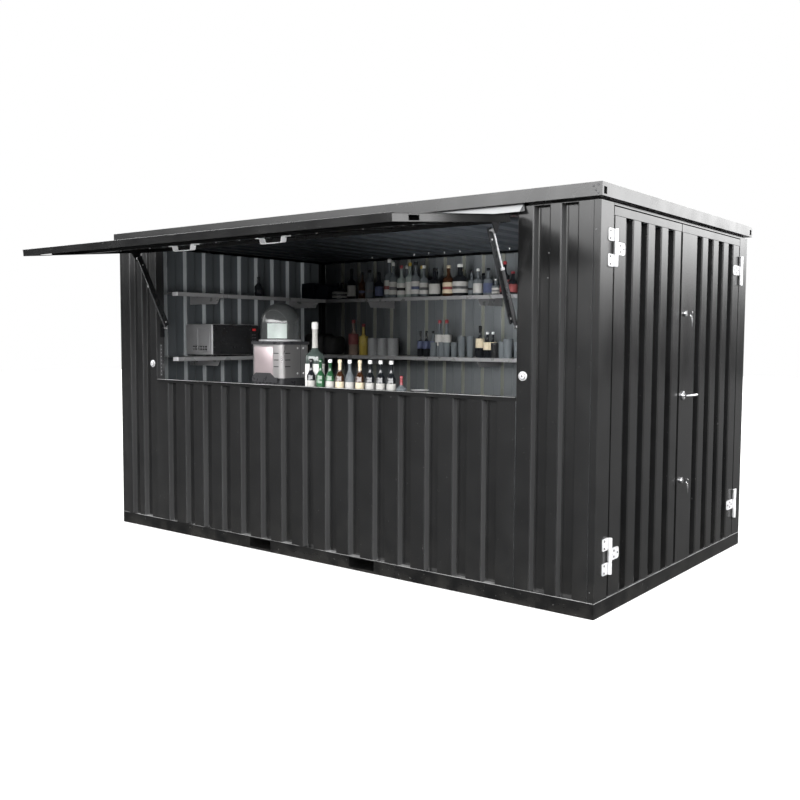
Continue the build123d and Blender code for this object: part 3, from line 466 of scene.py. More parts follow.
# Finishes: a Principled shader with mottling, grain, dust and wear worked out from Object coordinates
def blendBy(tree, factor, colourA, colourB):
    # a colour mix; each side is a socket or a plain colour
    mix = addNode(tree, "ShaderNodeMix", data_type="RGBA")
    tree.links.new(factor, mix.inputs["Factor"])
    for key, colour in (("A", colourA), ("B", colourB)):
        if isinstance(colour, tuple):
            mix.inputs[key].default_value = (*colour, 1)
        else:
            tree.links.new(colour, mix.inputs[key])
    return mix.outputs["Result"]


def noiseFrom(tree, coordinates, scale, detail=3.0, stretch=None):
    # a noise value from 0 to 1; stretch squeezes the pattern along X, Y and Z first
    if stretch:
        mapping = addNode(tree, "ShaderNodeMapping")
        mapping.inputs["Scale"].default_value = stretch
        tree.links.new(coordinates, mapping.inputs["Vector"])
        coordinates = mapping.outputs["Vector"]
    noise = addNode(tree, "ShaderNodeTexNoise", {"Scale": scale, "Detail": detail})
    tree.links.new(coordinates, noise.inputs["Vector"])
    return noise.outputs["Fac"]


def mapped(tree, value, fromLow, fromHigh, toLow=0.0, toHigh=1.0):
    # a value's place between two limits, carried over to between two others and held inside them
    span = addNode(
        tree, "ShaderNodeMapRange",
        {"From Min": fromLow, "From Max": fromHigh, "To Min": toLow, "To Max": toHigh},
    )
    tree.links.new(value, span.inputs["Value"])
    return span.outputs["Result"]


def times(tree, first, second):
    # a product; each factor is a socket or a plain number
    product = addNode(tree, "ShaderNodeMath", operation="MULTIPLY")
    for number, value in enumerate((first, second)):
        if isinstance(value, float):
            product.inputs[number].default_value = value
        else:
            tree.links.new(value, product.inputs[number])
    return product.outputs[0]


def newFinish(name, colour, rough, metallic, specular, mottle, stretch, vary, grain=None, speckle=None,
              dust=None, wear=None, wornAndLitBand=None, coat=0.0, clear=0.0, ior=None, glow=0.0):
    # the colour goes from darker to lighter by a noise; specks, dust, wear and a band of rubbed paint and
    # painted highlight are then mixed in by noises too
    finish = bpy.data.materials.new(name)
    finish.use_nodes = True
    tree = finish.node_tree
    shader = tree.nodes["Principled BSDF"]
    shader.inputs["Metallic"].default_value = metallic
    shader.inputs["Specular IOR Level"].default_value = specular
    shader.inputs["Coat Weight"].default_value = coat
    shader.inputs["Coat Roughness"].default_value = 0.08
    shader.inputs["Transmission Weight"].default_value = clear
    if ior:
        shader.inputs["IOR"].default_value = ior
    if glow:
        shader.inputs["Emission Color"].default_value = (*colour, 1)
        shader.inputs["Emission Strength"].default_value = glow
    place = addNode(tree, "ShaderNodeTexCoord").outputs["Object"]
    height = addNode(tree, "ShaderNodeSeparateXYZ")
    tree.links.new(place, height.inputs[0])
    scale, amount = mottle
    cloud = mapped(tree, noiseFrom(tree, place, scale, 4.0, stretch), 0.3, 0.7)
    darker = tuple(part * (1 - amount) for part in colour)
    lighter = tuple(min(1.0, part * (1 + amount)) for part in colour)
    shade = blendBy(tree, cloud, darker, lighter)
    if speckle:      # scale, threshold, colour: small specks
        size, threshold, tint = speckle
        spots = mapped(tree, noiseFrom(tree, place, size, 2.0), threshold, threshold + 0.05)
        shade = blendBy(tree, spots, shade, tint)
    if dust:         # height it reaches, strength, colour: settled low down
        reach, strength, tint = dust
        low = mapped(tree, height.outputs["Z"], reach, 0.0, 0.0, strength)
        patchy = mapped(tree, noiseFrom(tree, place, 9.0, 5.0), 0.35, 0.7)
        shade = blendBy(tree, times(tree, low, patchy), shade, tint)
    if wornAndLitBand:     # height where it starts and is full, colour: lighter from there up, as rubbed paint and a painted highlight
        low, high, tint = wornAndLitBand
        band = mapped(tree, height.outputs["Z"], low, high)
        patchy = mapped(tree, noiseFrom(tree, place, 5.0, 4.0), 0.42, 0.58)
        shade = blendBy(tree, times(tree, band, patchy), shade, tint)
    if wear:         # strength, colour: in the folds and along the bends
        strength, tint = wear
        bend = addNode(tree, "ShaderNodeAttribute", attribute_name="bend")
        patchy = mapped(tree, noiseFrom(tree, place, 7.0, 5.0), 0.4, 0.65, 0.2, strength)
        shade = blendBy(tree, times(tree, bend.outputs["Fac"], patchy), shade, tint)
    tree.links.new(shade, shader.inputs["Base Color"])
    smudge = noiseFrom(tree, place, scale * 2.3, 4.0, stretch)
    roughness = mapped(tree, smudge, 0.3, 0.7, max(0.02, rough - vary), rough + vary)
    tree.links.new(roughness, shader.inputs["Roughness"])
    if grain:        # scale, stretch, strength, depth in metres
        size, squeeze, strength, depth = grain
        bump = addNode(tree, "ShaderNodeBump", {"Strength": strength, "Distance": depth})
        tree.links.new(noiseFrom(tree, place, size, 3.0, squeeze), bump.inputs["Height"])
        tree.links.new(bump.outputs["Normal"], shader.inputs["Normal"])
    return finish


orangePeel = (220.0, None, 0.05, 0.0003)
brushed = (60.0, (1.0, 1.0, 40.0), 0.25, 0.0004)
pitted = (90.0, None, 0.2, 0.0005)
boardGrain = (300.0, None, 0.3, 0.001)
paint = (0.0048, 0.0049, 0.0051)
# the lighter colour of the skirt's top edge: partly bare metal, partly a painted highlight
bareAndLitEdge = (0.30, 0.30, 0.30)
roadDust = (0.20, 0.19, 0.17)
finishPlans = {
    # colour, roughness, metal, specular, mottle's scale and amount, stretch, how far the roughness varies,
    # grain, speckle, dust, wear, and a band that is rubbed paint and a painted highlight
    "anthracite": (
        paint, 0.20, 0, 0.52, (2.5, 0.18), (1, 1, 0.35), 0.04, orangePeel,
        (70.0, 0.73, (0.06, 0.06, 0.058)), (0.45, 0.05, roadDust), (0.10, (0.05, 0.05, 0.05)),
    ),
    # much lighter than the anthracite: a painted highlight on the outer flanks that face the right, where the
    # light falls
    "flankPaintedHighlight": ((0.052, 0.0524, 0.053), 0.35, 0, 0.5, (2.5, 0.18), (1, 1, 0.35), 0.05, orangePeel),
    # the skirt's top edge gets a lighter band: rubbed paint and a painted highlight of light caught on the ledge
    "skirtPaint": (
        paint, 0.22, 0, 0.32, (3.0, 0.2), None, 0.06, orangePeel,
        (60.0, 0.71, (0.07, 0.07, 0.068)), (0.12, 0.10, roadDust), None, (0.0815, 0.0835, bareAndLitEdge),
    ),
    "roofPaint": (
        (0.0080, 0.0081, 0.0083), 0.24, 0, 0.72, (2.0, 0.2), None, 0.06, orangePeel,
        (40.0, 0.70, (0.07, 0.07, 0.068)), None, (0.1, (0.06, 0.06, 0.06)),
    ),
    "sheetPaint": ((0.012, 0.0122, 0.0125), 0.5, 0, 0.25, (2.0, 0.25), (0.4, 1, 1), 0.08, orangePeel),
    "innerPaint": (
        (0.088, 0.097, 0.105), 0.34, 0, 0.5, (1.5, 0.08), (1, 1, 0.3), 0.06, orangePeel,
        None, None, (0.3, (0.20, 0.21, 0.20)),
    ),
    # the inside paint made darker for the left wall: painted shade
    "sidePaintedShade": ((0.060, 0.067, 0.072), 0.34, 0, 0.5, (1.5, 0.08), (1, 1, 0.3), 0.06, orangePeel),
    # lighter copies of the inside paint on the inner flanks: painted highlights
    "innerFlankHighlight": ((0.33, 0.34, 0.29), 0.4, 0, 0.5, (3.0, 0.12), (1, 1, 0.3), 0.06, orangePeel),
    "sideFlankHighlight": ((0.34, 0.36, 0.37), 0.35, 0, 0.5, (3.0, 0.12), (1, 1, 0.3), 0.06, orangePeel),
    "ceilingPaint": ((0.082, 0.093, 0.106), 0.5, 0, 0.4, (1.5, 0.1), (4, 0.5, 1), 0.06, orangePeel),
    "shelfPaint": ((0.24, 0.24, 0.243), 0.30, 0.3, 0.6, (5.0, 0.1), None, 0.05),
    "paleFlashing": ((0.33, 0.335, 0.34), 0.42, 0.0, 0.5, (3.0, 0.06), (0.4, 1, 1), 0.08, orangePeel),
    "tubeSatin": ((0.16, 0.16, 0.165), 0.25, 0.7, 0.5, (8.0, 0.1), None, 0.05),
    "zinc": ((0.62, 0.63, 0.65), 0.34, 0.9, 0.5, (35.0, 0.18), None, 0.1, pitted),
    "hingeZinc": ((0.73, 0.73, 0.74), 0.42, 0.35, 0.5, (35.0, 0.12), None, 0.08, pitted),
    "dullZinc": ((0.16, 0.16, 0.165), 0.4, 0.4, 0.5, (35.0, 0.2), None, 0.08),
    "brightSteel": ((0.75, 0.75, 0.76), 0.2, 1, 0.5, (20.0, 0.08), None, 0.06, brushed),
    "boltDark": ((0.09, 0.09, 0.095), 0.4, 0.5, 0.5, (20.0, 0.2), None, 0.08),
    # pale lines on edges: worn paint and a painted highlight
    "wornAndLitLine": ((0.36, 0.36, 0.36), 0.4, 0.3, 0.5, (3.0, 0.5), None, 0.1),
    # black for painted shade: in the door gaps and behind the fascia's slots
    "paintedShadeBlack": ((0.002, 0.002, 0.002), 0.9, 0, 0.05, (20.0, 0.2), None, 0.05),
    "guardPaint": ((0.030, 0.031, 0.033), 0.3, 0, 0.5, (8.0, 0.2), None, 0.08, orangePeel),
    "blackMetal": ((0.012, 0.012, 0.013), 0.32, 0, 0.5, (8.0, 0.2), None, 0.08, orangePeel),
    "rubber": ((0.018, 0.018, 0.018), 0.7, 0, 0.3, (15.0, 0.25), None, 0.1),
    "floorBoard": ((0.035, 0.026, 0.020), 0.45, 0, 0.4, (6.0, 0.4), (0.3, 6, 1), 0.12, boardGrain),
    "applianceSteel": ((0.36, 0.35, 0.35), 0.32, 0.85, 0.5, (6.0, 0.08), (1, 1, 0.2), 0.06, brushed),
    "ovenPaint": ((0.27, 0.27, 0.275), 0.35, 0.3, 0.5, (3.0, 0.12), None, 0.05),
    "panelSteel": ((0.38, 0.32, 0.33), 0.34, 0.6, 0.5, (10.0, 0.06), None, 0.05),
    "panePale": ((0.30, 0.335, 0.32), 0.2, 0, 0.5, (10.0, 0.12), None, 0.05),
    "bandPlastic": ((0.02, 0.02, 0.022), 0.3, 0, 0.5, (10.0, 0.2), None, 0.05),
    "ringPlastic": ((0.26, 0.26, 0.265), 0.35, 0, 0.5, (10.0, 0.06), None, 0.05),
    "blackPlastic": ((0.015, 0.015, 0.016), 0.22, 0, 0.5, (12.0, 0.2), None, 0.06),
    "whitePlastic": ((0.55, 0.55, 0.54), 0.35, 0, 0.5, (8.0, 0.04), None, 0.05),
    "redPlastic": ((0.20, 0.03, 0.035), 0.35, 0, 0.5, (8.0, 0.1), None, 0.05),
    "yellowPlastic": ((0.34, 0.25, 0.05), 0.35, 0, 0.5, (8.0, 0.1), None, 0.05),
    "redLamp": ((0.6, 0.03, 0.03), 0.3, 0, 0.5, (8.0, 0.05), None, 0.02),
    "smokedDome": ((0.055, 0.058, 0.058), 0.10, 0, 0.6, (5.0, 0.15), None, 0.03),
    "greenGlass": ((0.015, 0.06, 0.025), 0.07, 0, 0.6, (12.0, 0.2), None, 0.02),
    "brownGlass": ((0.035, 0.014, 0.006), 0.07, 0, 0.6, (12.0, 0.2), None, 0.02),
    "darkGlass": ((0.008, 0.009, 0.011), 0.07, 0, 0.6, (12.0, 0.2), None, 0.02),
    "tallGlass": ((0.05, 0.065, 0.06), 0.07, 0, 0.6, (12.0, 0.1), None, 0.02),
    "clearGlass": ((0.26, 0.30, 0.29), 0.06, 0, 0.6, (12.0, 0.05), None, 0.02),
    "frostGlass": ((0.13, 0.145, 0.155), 0.12, 0, 0.6, (12.0, 0.06), None, 0.05),
    "sodaDrink": ((0.30, 0.22, 0.18), 0.12, 0, 0.6, (12.0, 0.1), None, 0.03),
    "paper": ((0.33, 0.325, 0.31), 0.6, 0, 0.3, (60.0, 0.08), None, 0.05),
    "creamPaper": ((0.46, 0.40, 0.29), 0.55, 0, 0.3, (60.0, 0.1), None, 0.05),
    "redPaper": ((0.15, 0.04, 0.04), 0.5, 0, 0.3, (60.0, 0.12), None, 0.05),
    "bluePaper": ((0.05, 0.06, 0.105), 0.5, 0, 0.3, (60.0, 0.12), None, 0.05),
    "amberPaper": ((0.45, 0.20, 0.05), 0.5, 0, 0.3, (60.0, 0.12), None, 0.05),
    "yellowPaper": ((0.36, 0.28, 0.07), 0.5, 0, 0.3, (60.0, 0.12), None, 0.05),
    "whitePaper": ((0.72, 0.71, 0.69), 0.5, 0, 0.3, (60.0, 0.04), None, 0.05),
    "cupPaper": ((0.20, 0.205, 0.21), 0.5, 0, 0.3, (60.0, 0.06), None, 0.05),
    "cardboard": ((0.022, 0.027, 0.040), 0.6, 0, 0.3, (20.0, 0.2), None, 0.05),
}
clearPlans = {
    # coat, clearness, refraction and glow of the finishes that have any
    "redLamp": {"glow": 0.12},
    "smokedDome": {"coat": 0.6, "clear": 0.3},
    "greenGlass": {"coat": 0.4},
    "brownGlass": {"coat": 0.4},
    "darkGlass": {"coat": 0.4},
    "tallGlass": {"coat": 0.4},
    "clearGlass": {"clear": 0.3, "ior": 1.3},
    "frostGlass": {"clear": 0.3, "ior": 1.2},
    "sodaDrink": {"clear": 0.3},
}
finishes = {name: newFinish(name, *plan, **clearPlans.get(name, {})) for name, plan in finishPlans.items()}
slotFinishes = {
    "anthracite": "anthracite", "roof_paint": "roofPaint", "zinc": "zinc", "pale_flashing": "paleFlashing",
    "black_metal": "blackMetal", "floor_board": "floorBoard", "inner_paint": "innerPaint",
    "bottle_glass": "darkGlass", "appliance_steel": "applianceSteel", "smoked_dome": "smokedDome",
}
strutFinishes = {"strut_rod": "hingeZinc", "strut_tube": "tubeSatin"}
for row in frame["record"]["subparts"]:
    node = nodes[row["node"]]
    kind = row["node"].rsplit("_", 1)[0]
    node.data.materials.clear()
    node.data.materials.append(finishes[strutFinishes.get(kind) or slotFinishes[row["material_slot"]]])
print("finishes ready:", len(finishes))

# Cabin shell: where the CAD nodes stand
(left, front), (right, back) = boxOf("corner_posts")[:, :2]
skirtTop = boxOf("base_front")[1][2]
wallTop = boxOf("corner_posts")[1][2]
openingLeft, openingRight = boxOf("serving_sill")[:, 0]
sillBottom, sillTop = boxOf("serving_sill")[:, 2]
jambDepth = boxOf("serving_sill")[1][1] - front
sides = {
    # origin, along the wall, into the cabin
    "front": ((0, front, 0), (1, 0, 0), (0, 1, 0)),
    "back": ((0, back, 0), (-1, 0, 0), (0, -1, 0)),
    "left": ((left, 0, 0), (0, -1, 0), (1, 0, 0)),
    "right": ((right, 0, 0), (0, 1, 0), (-1, 0, 0)),
}

# Ribbed walls: a folded sheet with pressed channels, its bends rounded
ribs = {
    "sheet": 0.002,
    "mouth": 0.092,
    "depth": 0.042,
    "taper": 0.006,
    "pitch": 0.196,
    "bend": 0.008,
    "frontFirst": 0.125,                 # from the opening's left side
    "leftPanel": (0.122, 0.270),         # from the left corner
    "rightPanel": (0.290, 0.128),        # from the right corner
    "postWidth": 0.040,
    "leftPostDepth": 0.060,
}


def ribbedPath(start, stop, lips, mouth, taper, depth, returns=(0, 0)):
    # flats at zero, and in each channel a flank, a bottom and a flank; a return turns in at an end
    channel = np.array(((0, 0), (taper, depth), (mouth - taper, depth), (mouth, 0)))
    runs = (np.asarray(lips, float)[:, None, None] * (1, 0) + channel[None]).reshape(-1, 2)
    first = [(start, returns[0]), (start, 0)] if returns[0] else [(start, 0)]
    last = [(stop, 0), (stop, returns[1])] if returns[1] else [(stop, 0)]
    return np.concatenate((first, runs, last))


def ribbedShell(path, bend, thickness, start, stop, origin, u, v, w, marks=(0, 1, 1, 0)):
    # the marks are for outer faces, inner faces, inner flanks and outer flanks;
    # a flank is a face whose outline runs more in depth than along
    outline = thicken(roundCorners(path, bend, closed=False), thickness)
    step = np.abs(np.roll(outline, -1, 0) - outline)
    outside = np.arange(len(outline)) < len(outline) // 2 - 1
    steep = step[:, 1] > step[:, 0]
    outer, inner, innerFlank, outerFlank = marks
    kinds = np.where(outside, np.where(steep, outerFlank, outer), np.where(steep, innerFlank, inner))
    return carry(outline, start, stop, origin, u, v, w, (outer, outer), kinds)


def spreadLips(start, stop):
    # where the channels start: as many as fit between two places at the pitch, centred between them
    count = int((stop - start - ribs["mouth"]) // ribs["pitch"])
    return (start + stop - (count - 1) * ribs["pitch"] - ribs["mouth"]) / 2 + ribs["pitch"] * np.arange(count)


def ribbedWall(nodeName, side, levels, ends, lips, returns=(0, 0), inner=("innerPaint", "innerPaint"),
               flank="anthracite"):
    # a ribbed sheet between two heights and two ends, in place of its node; inner: the inside's finish and that
    # of its flanks, flank: the outer flanks' finish, where a lighter flank finish is a painted highlight
    path = ribbedPath(*ends, lips, ribs["mouth"], ribs["taper"], ribs["depth"], returns)
    origin, along, inward = sides[side]
    shell = ribbedShell(
        path, ribs["bend"], ribs["sheet"], *levels, origin, along, inward, (0, 0, 1), (0, 1, 2, 3),
    )
    makePiece(
        nodeName + "_folded", [shell], bodyOf[nodeName], ["anthracite", *inner, flank],
        [nodeName], flat=True,
    )


wallLevels = (skirtTop, wallTop)
firstLip = openingLeft + ribs["frontFirst"]
frontCount = int((openingRight - firstLip - ribs["mouth"]) // ribs["pitch"]) + 1
frontLips = firstLip + ribs["pitch"] * np.arange(frontCount)
# the front wall's outer flanks take a painted highlight
ribbedWall(
    "front_wall", "front", (skirtTop, sillBottom), (openingLeft, openingRight), frontLips, flank="flankPaintedHighlight",
)
panels = (
    # name, ends, channels, and the return at the opening
    (
        "front_panel_left", (left + ribs["postWidth"], openingLeft), left + np.array(ribs["leftPanel"]),
        (0, jambDepth),
    ),
    (
        "front_panel_right", (openingRight, right - ribs["postWidth"]),
        right - np.array(ribs["rightPanel"]) - ribs["mouth"], (jambDepth, 0),
    ),
)
for nodeName, ends, lips, returns in panels:
    # the panels' outer flanks take a painted highlight
    ribbedWall(nodeName, "front", wallLevels, ends, lips, returns, flank="flankPaintedHighlight")
walls = (
    # name, side, half the length, and the inside's finish and that of its flanks: the lighter flanks are painted
    # highlights, and the left wall's darker inside is painted shade
    ("back_wall", "back", right - ribs["postWidth"], ("innerPaint", "innerFlankHighlight")),
    ("left_wall", "left", back - ribs["leftPostDepth"], ("sidePaintedShade", "sideFlankHighlight")),
)
for nodeName, side, half, inner in walls:
    ribbedWall(nodeName, side, wallLevels, (-half, half), spreadLips(-half, half), inner=inner)

# Door leaves: the same channels, with both edges turned in, and black strips along their upright edges that
# paint the shade in the door gaps
leaves = {
    "left": {"span": (-0.985, -0.067), "firstGroove": 0.145, "plainEdge": 0.100},
    "right": {"span": (-0.058, 0.985), "firstGroove": 0.128, "plainEdge": 0.235},
    "pitch": 0.191,
    "outerGap": 0.003,
    "topGap": 0.0015,
}
gapShade = {
    "outerWidth": 0.005,
    "meetingWidth": 0.009,
    "sunk": 0.0015,
    "proud": 0.0007,
    "endGap": 0.002,
    "round": 0.0005,
}
leafBottom, leafTop = boxOf("door_left_leaf")[:, 2]
leafRuns = {}
for side in ("left", "right"):
    leaf = leaves[side]
    start, stop = leaf["span"]
    spare = stop - start - leaf["firstGroove"] - leaf["plainEdge"] - ribs["mouth"]
    steps = leaf["firstGroove"] + leaves["pitch"] * np.arange(int(spare // leaves["pitch"]) + 1)
    depth = ribs["depth"] + ribs["sheet"]
    if side == "left":
        ends, lips = (start + leaves["outerGap"], stop), start + steps
        leafRuns[side] = ((ends[0], ends[0] + gapShade["outerWidth"]), (stop - gapShade["meetingWidth"], stop))
    else:
        ends, lips = (start, stop - leaves["outerGap"]), stop - steps[::-1] - ribs["mouth"]
        leafRuns[side] = ((start, start + gapShade["meetingWidth"]), (ends[1] - gapShade["outerWidth"], ends[1]))
    levels = (leafBottom, leafTop - leaves["topGap"])
    ribbedWall(f"door_{side}_leaf", "right", levels, ends, lips, (depth, depth))
# black strips along the leaves' upright edges: painted shade of the gaps
for side, runs in leafRuns.items():
    gapShadeShells = [
        blockShell(
            (right - gapShade["sunk"], low, leafBottom + gapShade["endGap"]),
            (right + gapShade["proud"], high, leafTop - gapShade["endGap"]), gapShade["round"], 1,
        )
        for low, high in runs
    ]
    makePiece(f"door_{side}_seals", gapShadeShells, f"door_{side}", ["paintedShadeBlack"])

# Roof sheet: ribs standing up inside the fascia
roof = {"foot": 0.100, "crown": 0.060, "height": 0.034, "pitch": 0.200, "bend": 0.006}
(roofLow, roofHigh) = boxOf("roof_sheet")
ribCount = int((roofHigh[0] - roofLow[0] - roof["foot"]) // roof["pitch"])
ribLips = roof["pitch"] * (np.arange(ribCount) - (ribCount - 1) / 2) - roof["foot"] / 2
ribTaper = (roof["foot"] - roof["crown"]) / 2
roofPath = ribbedPath(roofLow[0], roofHigh[0], ribLips, roof["foot"], ribTaper, roof["height"])
roofShell = ribbedShell(
    roofPath, roof["bend"], ribs["sheet"], roofLow[1], roofHigh[1], (0, 0, roofLow[2]), (1, 0, 0), (0, 0, 1),
    (0, 1, 0),
)
makePiece(
    "roof_sheet_folded", [roofShell], "cabin", ["ceilingPaint", "sheetPaint"],
    ["roof_sheet"], flat=True,
)

# Corner posts with round folds, and the base, sill, header, fascia and door rails with softened edges
posts = {"bend": 0.0035, "leftDepth": 0.060, "doorDepth": 0.150}
postShells = []
for xSide, postDepth in ((-1, posts["leftDepth"]), (1, posts["doorDepth"])):
    for ySide in (-1, 1):
        x = sorted((xSide * right, xSide * (right - ribs["postWidth"])))
        y = sorted((ySide * back, ySide * (back - postDepth)))
        outline = roundCorners([(x[0], y[0]), (x[1], y[0]), (x[1], y[1]), (x[0], y[1])], posts["bend"])
        postShells.append(carry(outline, *wallLevels, (0, 0, 0), (1, 0, 0), (0, 1, 0), (0, 0, 1)))
makePiece(
    "corner_posts_folded", postShells, "cabin", ["anthracite"], ["corner_posts"],
    flat=True,
)
softCopies("skirtPaint", 0.0012, "base_front", "base_back", "base_ends")
softCopies("anthracite", 0.0009, "serving_sill", "front_header")
softCopies("anthracite", 0.0009, "door_left_rails", "door_right_rails", "flap_rail")
softCopies("roofPaint", 0.0009, "flap_rim")
softCopies("roofPaint", 0.0013, "roof_fascia")
softCopies("anthracite", 0.0015, "door_head")
softCopies("shelfPaint", 0.0008, "back_shelves", "left_shelves", "shelf_brackets", "counter_brackets")
softCopies("shelfPaint", 0.002, "counter")
print("cabin shell ready")

# Flap: ribbed skin, seen from its hinge
flapPlan = {
    "hinge": (0, -1.190, 2.094),
    "slope": 5.6,                        # degrees
    "overlap": 0.047,                    # how far the shut flap reaches below the sill's top
    "hingeGap": 0.009,
    "taper": 0.004,
    "depth": 0.020,
    "lip": 0.010,
    "edgeFlat": 0.045,
    "bend": 0.006,
    "edgeRoll": 0.0022,
}
slope = np.radians(flapPlan["slope"])
flapOut = np.array((0, -np.cos(slope), -np.sin(slope)))
flapDown = np.array((0, np.sin(slope), -np.cos(slope)))
flapHinge = np.array(flapPlan["hinge"])
flapLeft, flapRight = boxOf("flap_rim")[:, 0]
flapLength = flapPlan["hinge"][2] - sillTop + flapPlan["overlap"]


def flapPoint(x, along, down):
    # a place on the open flap: along it from the hinge, and down from its skin
    return np.array((x, 0, 0)) + flapHinge + flapOut * along + flapDown * down


flapLips = spreadLips(-flapRight + flapPlan["edgeFlat"], -flapLeft - flapPlan["edgeFlat"])
skinPath = ribbedPath(
    -flapRight - flapPlan["lip"], -flapLeft + flapPlan["lip"], flapLips,
    ribs["mouth"], flapPlan["taper"], flapPlan["depth"],
)
skinEnds = (flapPlan["hingeGap"] + ribs["sheet"], flapLength - ribs["sheet"])
skinShell = ribbedShell(
    skinPath, flapPlan["bend"], ribs["sheet"], *skinEnds, flapHinge, (-1, 0, 0), flapDown, flapOut,
    (0, 0, 0, 0),
)
makePiece(
    "flap_skin_folded", [skinShell], "flap", ["anthracite"], ["flap_skin"], flat=True,
)
edgeRoll = flapPlan["edgeRoll"]
rollPath = [flapPoint(x, flapLength - edgeRoll, 0.0) for x in (flapLeft, 0, flapRight)]
makePiece("flap_edge_roll", [tubeShell(rollPath, edgeRoll, 8)], "flap", ["anthracite"])
print("flap ready")

# Small parts repeated over the cabin: bolts, rivets and screws are turned once and spread to their places
xAxis, yAxis, zAxis = np.eye(3)


def rounded(low, high, radius, steps=3):
    # a rectangle with round corners, as a closed outline
    return roundCorners([low, (high[0], low[1]), high, (low[0], high[1])], radius, steps)


def mirrored(half):
    # the points of half an outline, then their mirror images in reverse order
    return np.array([*half, *[(-across, up) for across, up in reversed(half)]])


def plateShell(outline, start, stop, u, v, w, origin=(0, 0, 0)):
    # a flat plate: an outline in the plane of u and v, carried along w from start to stop
    return carry(np.asarray(outline, float), start, stop, origin, u, v, w)


def boltShell(radius, height, sides=8, across=yAxis, other=zAxis, along=xAxis):
    # a bolt's head: straight for 0.55 of its height, then drawn in to 0.72 of its radius
    profile = ((radius, 0), (radius, 0.55 * height), (0.72 * radius, height))
    return turnShell(profile, (0, 0, 0), sides, None, across, other, along)


def collarShell(profile, place, sides, across, other, along):
    # a closed profile of radius and height turned round an axis, open in its middle
    rings, number, beside = turnedRings(profile, place, sides, across, other, along)
    above = np.roll(number, -1, 0)
    quads = np.stack((number, beside, np.roll(above, -1, 1), above), -1).reshape(-1, 4)
    return makeShell(rings.reshape(-1, 3), [quads])


def keyRingShell(middle, wide, high):
    # a wire ring hanging across the X axis: an ellipse of 14 points round its middle
    turn = 2 * np.pi * np.arange(14) / 14
    loop = np.outer(wide * np.sin(turn), yAxis) + np.outer(high * np.cos(turn), zAxis)
    return tubeShell(middle + loop, 0.0011, 6, True)


# Door hinges: a knuckled barrel, two bolted plates on the post and one on the leaf
hinge = {
    "axisX": 2.014,
    "axisY": 0.9875,
    "heights": (0.309, 1.908),
    "height": 0.195,
    "barrel": 0.0105,
    "barrelEdge": 0.002,
    "seam": 0.0012,
    "plate": 0.0042,
    "bolt": (0.0062, 0.003),
    # each plate's reach, its corner, and its bolts as shares of its reach and of its half height
    "post": {"reach": 0.067, "corner": 0.009, "bolts": ((0.72, 0.6), (0.72, -0.6))},
    "leaf": {"reach": 0.128, "corner": 0.0198, "bolts": ((0.52, 0.5), (0.86, 0.0), (0.52, -0.5), (0.3, 0.0))},
}
knuckle = hinge["height"] / 3
halfKnuckle = (knuckle - hinge["seam"]) / 2
radius, edge = hinge["barrel"], hinge["barrelEdge"]
barrelProfile = (
    (radius - edge, -halfKnuckle), (radius, edge - halfKnuckle), (radius, halfKnuckle - edge),
    (radius - edge, halfKnuckle),
)
postShells = []
for sideName, ySide in (("left", -1), ("right", 1)):
    leafShells = []
    for middle in hinge["heights"]:
        for step in (-1, 0, 1):
            height = middle + step * knuckle
            axisY = ySide * hinge["axisY"]
            plan, way, shells = (hinge["post"], ySide * yAxis, postShells)
            if step == 0:
                plan, way, shells = (hinge["leaf"], -ySide * yAxis, leafShells)
            outline = rounded((0.0, -halfKnuckle), (plan["reach"], halfKnuckle), plan["corner"])
            outline[outline[:, 0] < plan["corner"]] *= (0, 1)
            origin = np.array((right, axisY, height))
            places = [
                origin + xAxis * hinge["plate"] + way * plan["reach"] * across + zAxis * halfKnuckle * up
                for across, up in plan["bolts"]
            ]
            shells.append(turnShell(barrelProfile, (hinge["axisX"], axisY, height), 16))
            shells.append(plateShell(outline, 0.0, hinge["plate"], way, zAxis, xAxis, origin))
            shells.append(marked(spread(boltShell(*hinge["bolt"]), places), 1))
    makePiece(
        f"hinge_plates_{sideName}", leafShells, f"door_{sideName}", ["hingeZinc", "boltDark"],
        [f"hinge_leaves_{sideName}"],
    )
makePiece("hinge_plates_posts", postShells, "cabin", ["hingeZinc", "boltDark"], ["hinge_posts"])

# Cylinder locks with a key in each and one more on a ring; a rose for the lever, and the lever itself
locks = {
    "y": 0.012,
    "heights": (0.588, 1.596),
    "rose": (0.018, 0.012),              # radius and height of the cylinder's rose
    # its profile as shares of the two, and the finish of each band
    "roseShares": ((1, 0), (1, 0.7), (0.9, 1), (0.5, 1), (0.46, 0.8), (0.40, 0.8), (0.38, 1.15), (0.1, 1.15)),
    "roseMarks": (0, 0, 0, 1, 1, 0, 0),
    "bow": ((0.004, 0.0), (0.004, 0.010), (0.013, 0.014), (0.013, 0.036)),   # half the key in the lock
    "bowRound": 0.006,
    "bowHalf": 0.00125,
    "keyX": 2.0375,
    "ring": (0.006, -0.014),             # the ring's middle from the lock's axis, and its two radii
    "ringSize": (0.011, 0.013),
    "key": ((0.003, -0.046), (0.0035, -0.018), (0.011, -0.016), (0.011, 0.004)),    # half the hanging key
    "keyRound": 0.005,
    "keyHalf": 0.0011,
    "keyOffset": (0.003, 0.014, -0.029),
    "leverZ": 1.103,
    "leverRose": 0.0275,
    "leverNeck": 0.0096,
    "leverFoot": 0.002,
    "leverOut": 2.0412,
    "leverEnd": 0.131,
    "leverBend": 0.016,
    "bar": 0.0085,
    "barEnd": ((0.0085, 0), (0.0068, 0.0008), (0.003, 0.001)),
}
roseProfile = np.array(locks["roseShares"]) * locks["rose"]
bow = roundCorners(mirrored(locks["bow"]), locks["bowRound"])[:, ::-1]
hangingKey = roundCorners(mirrored(locks["key"]), locks["keyRound"])
lockShells = []
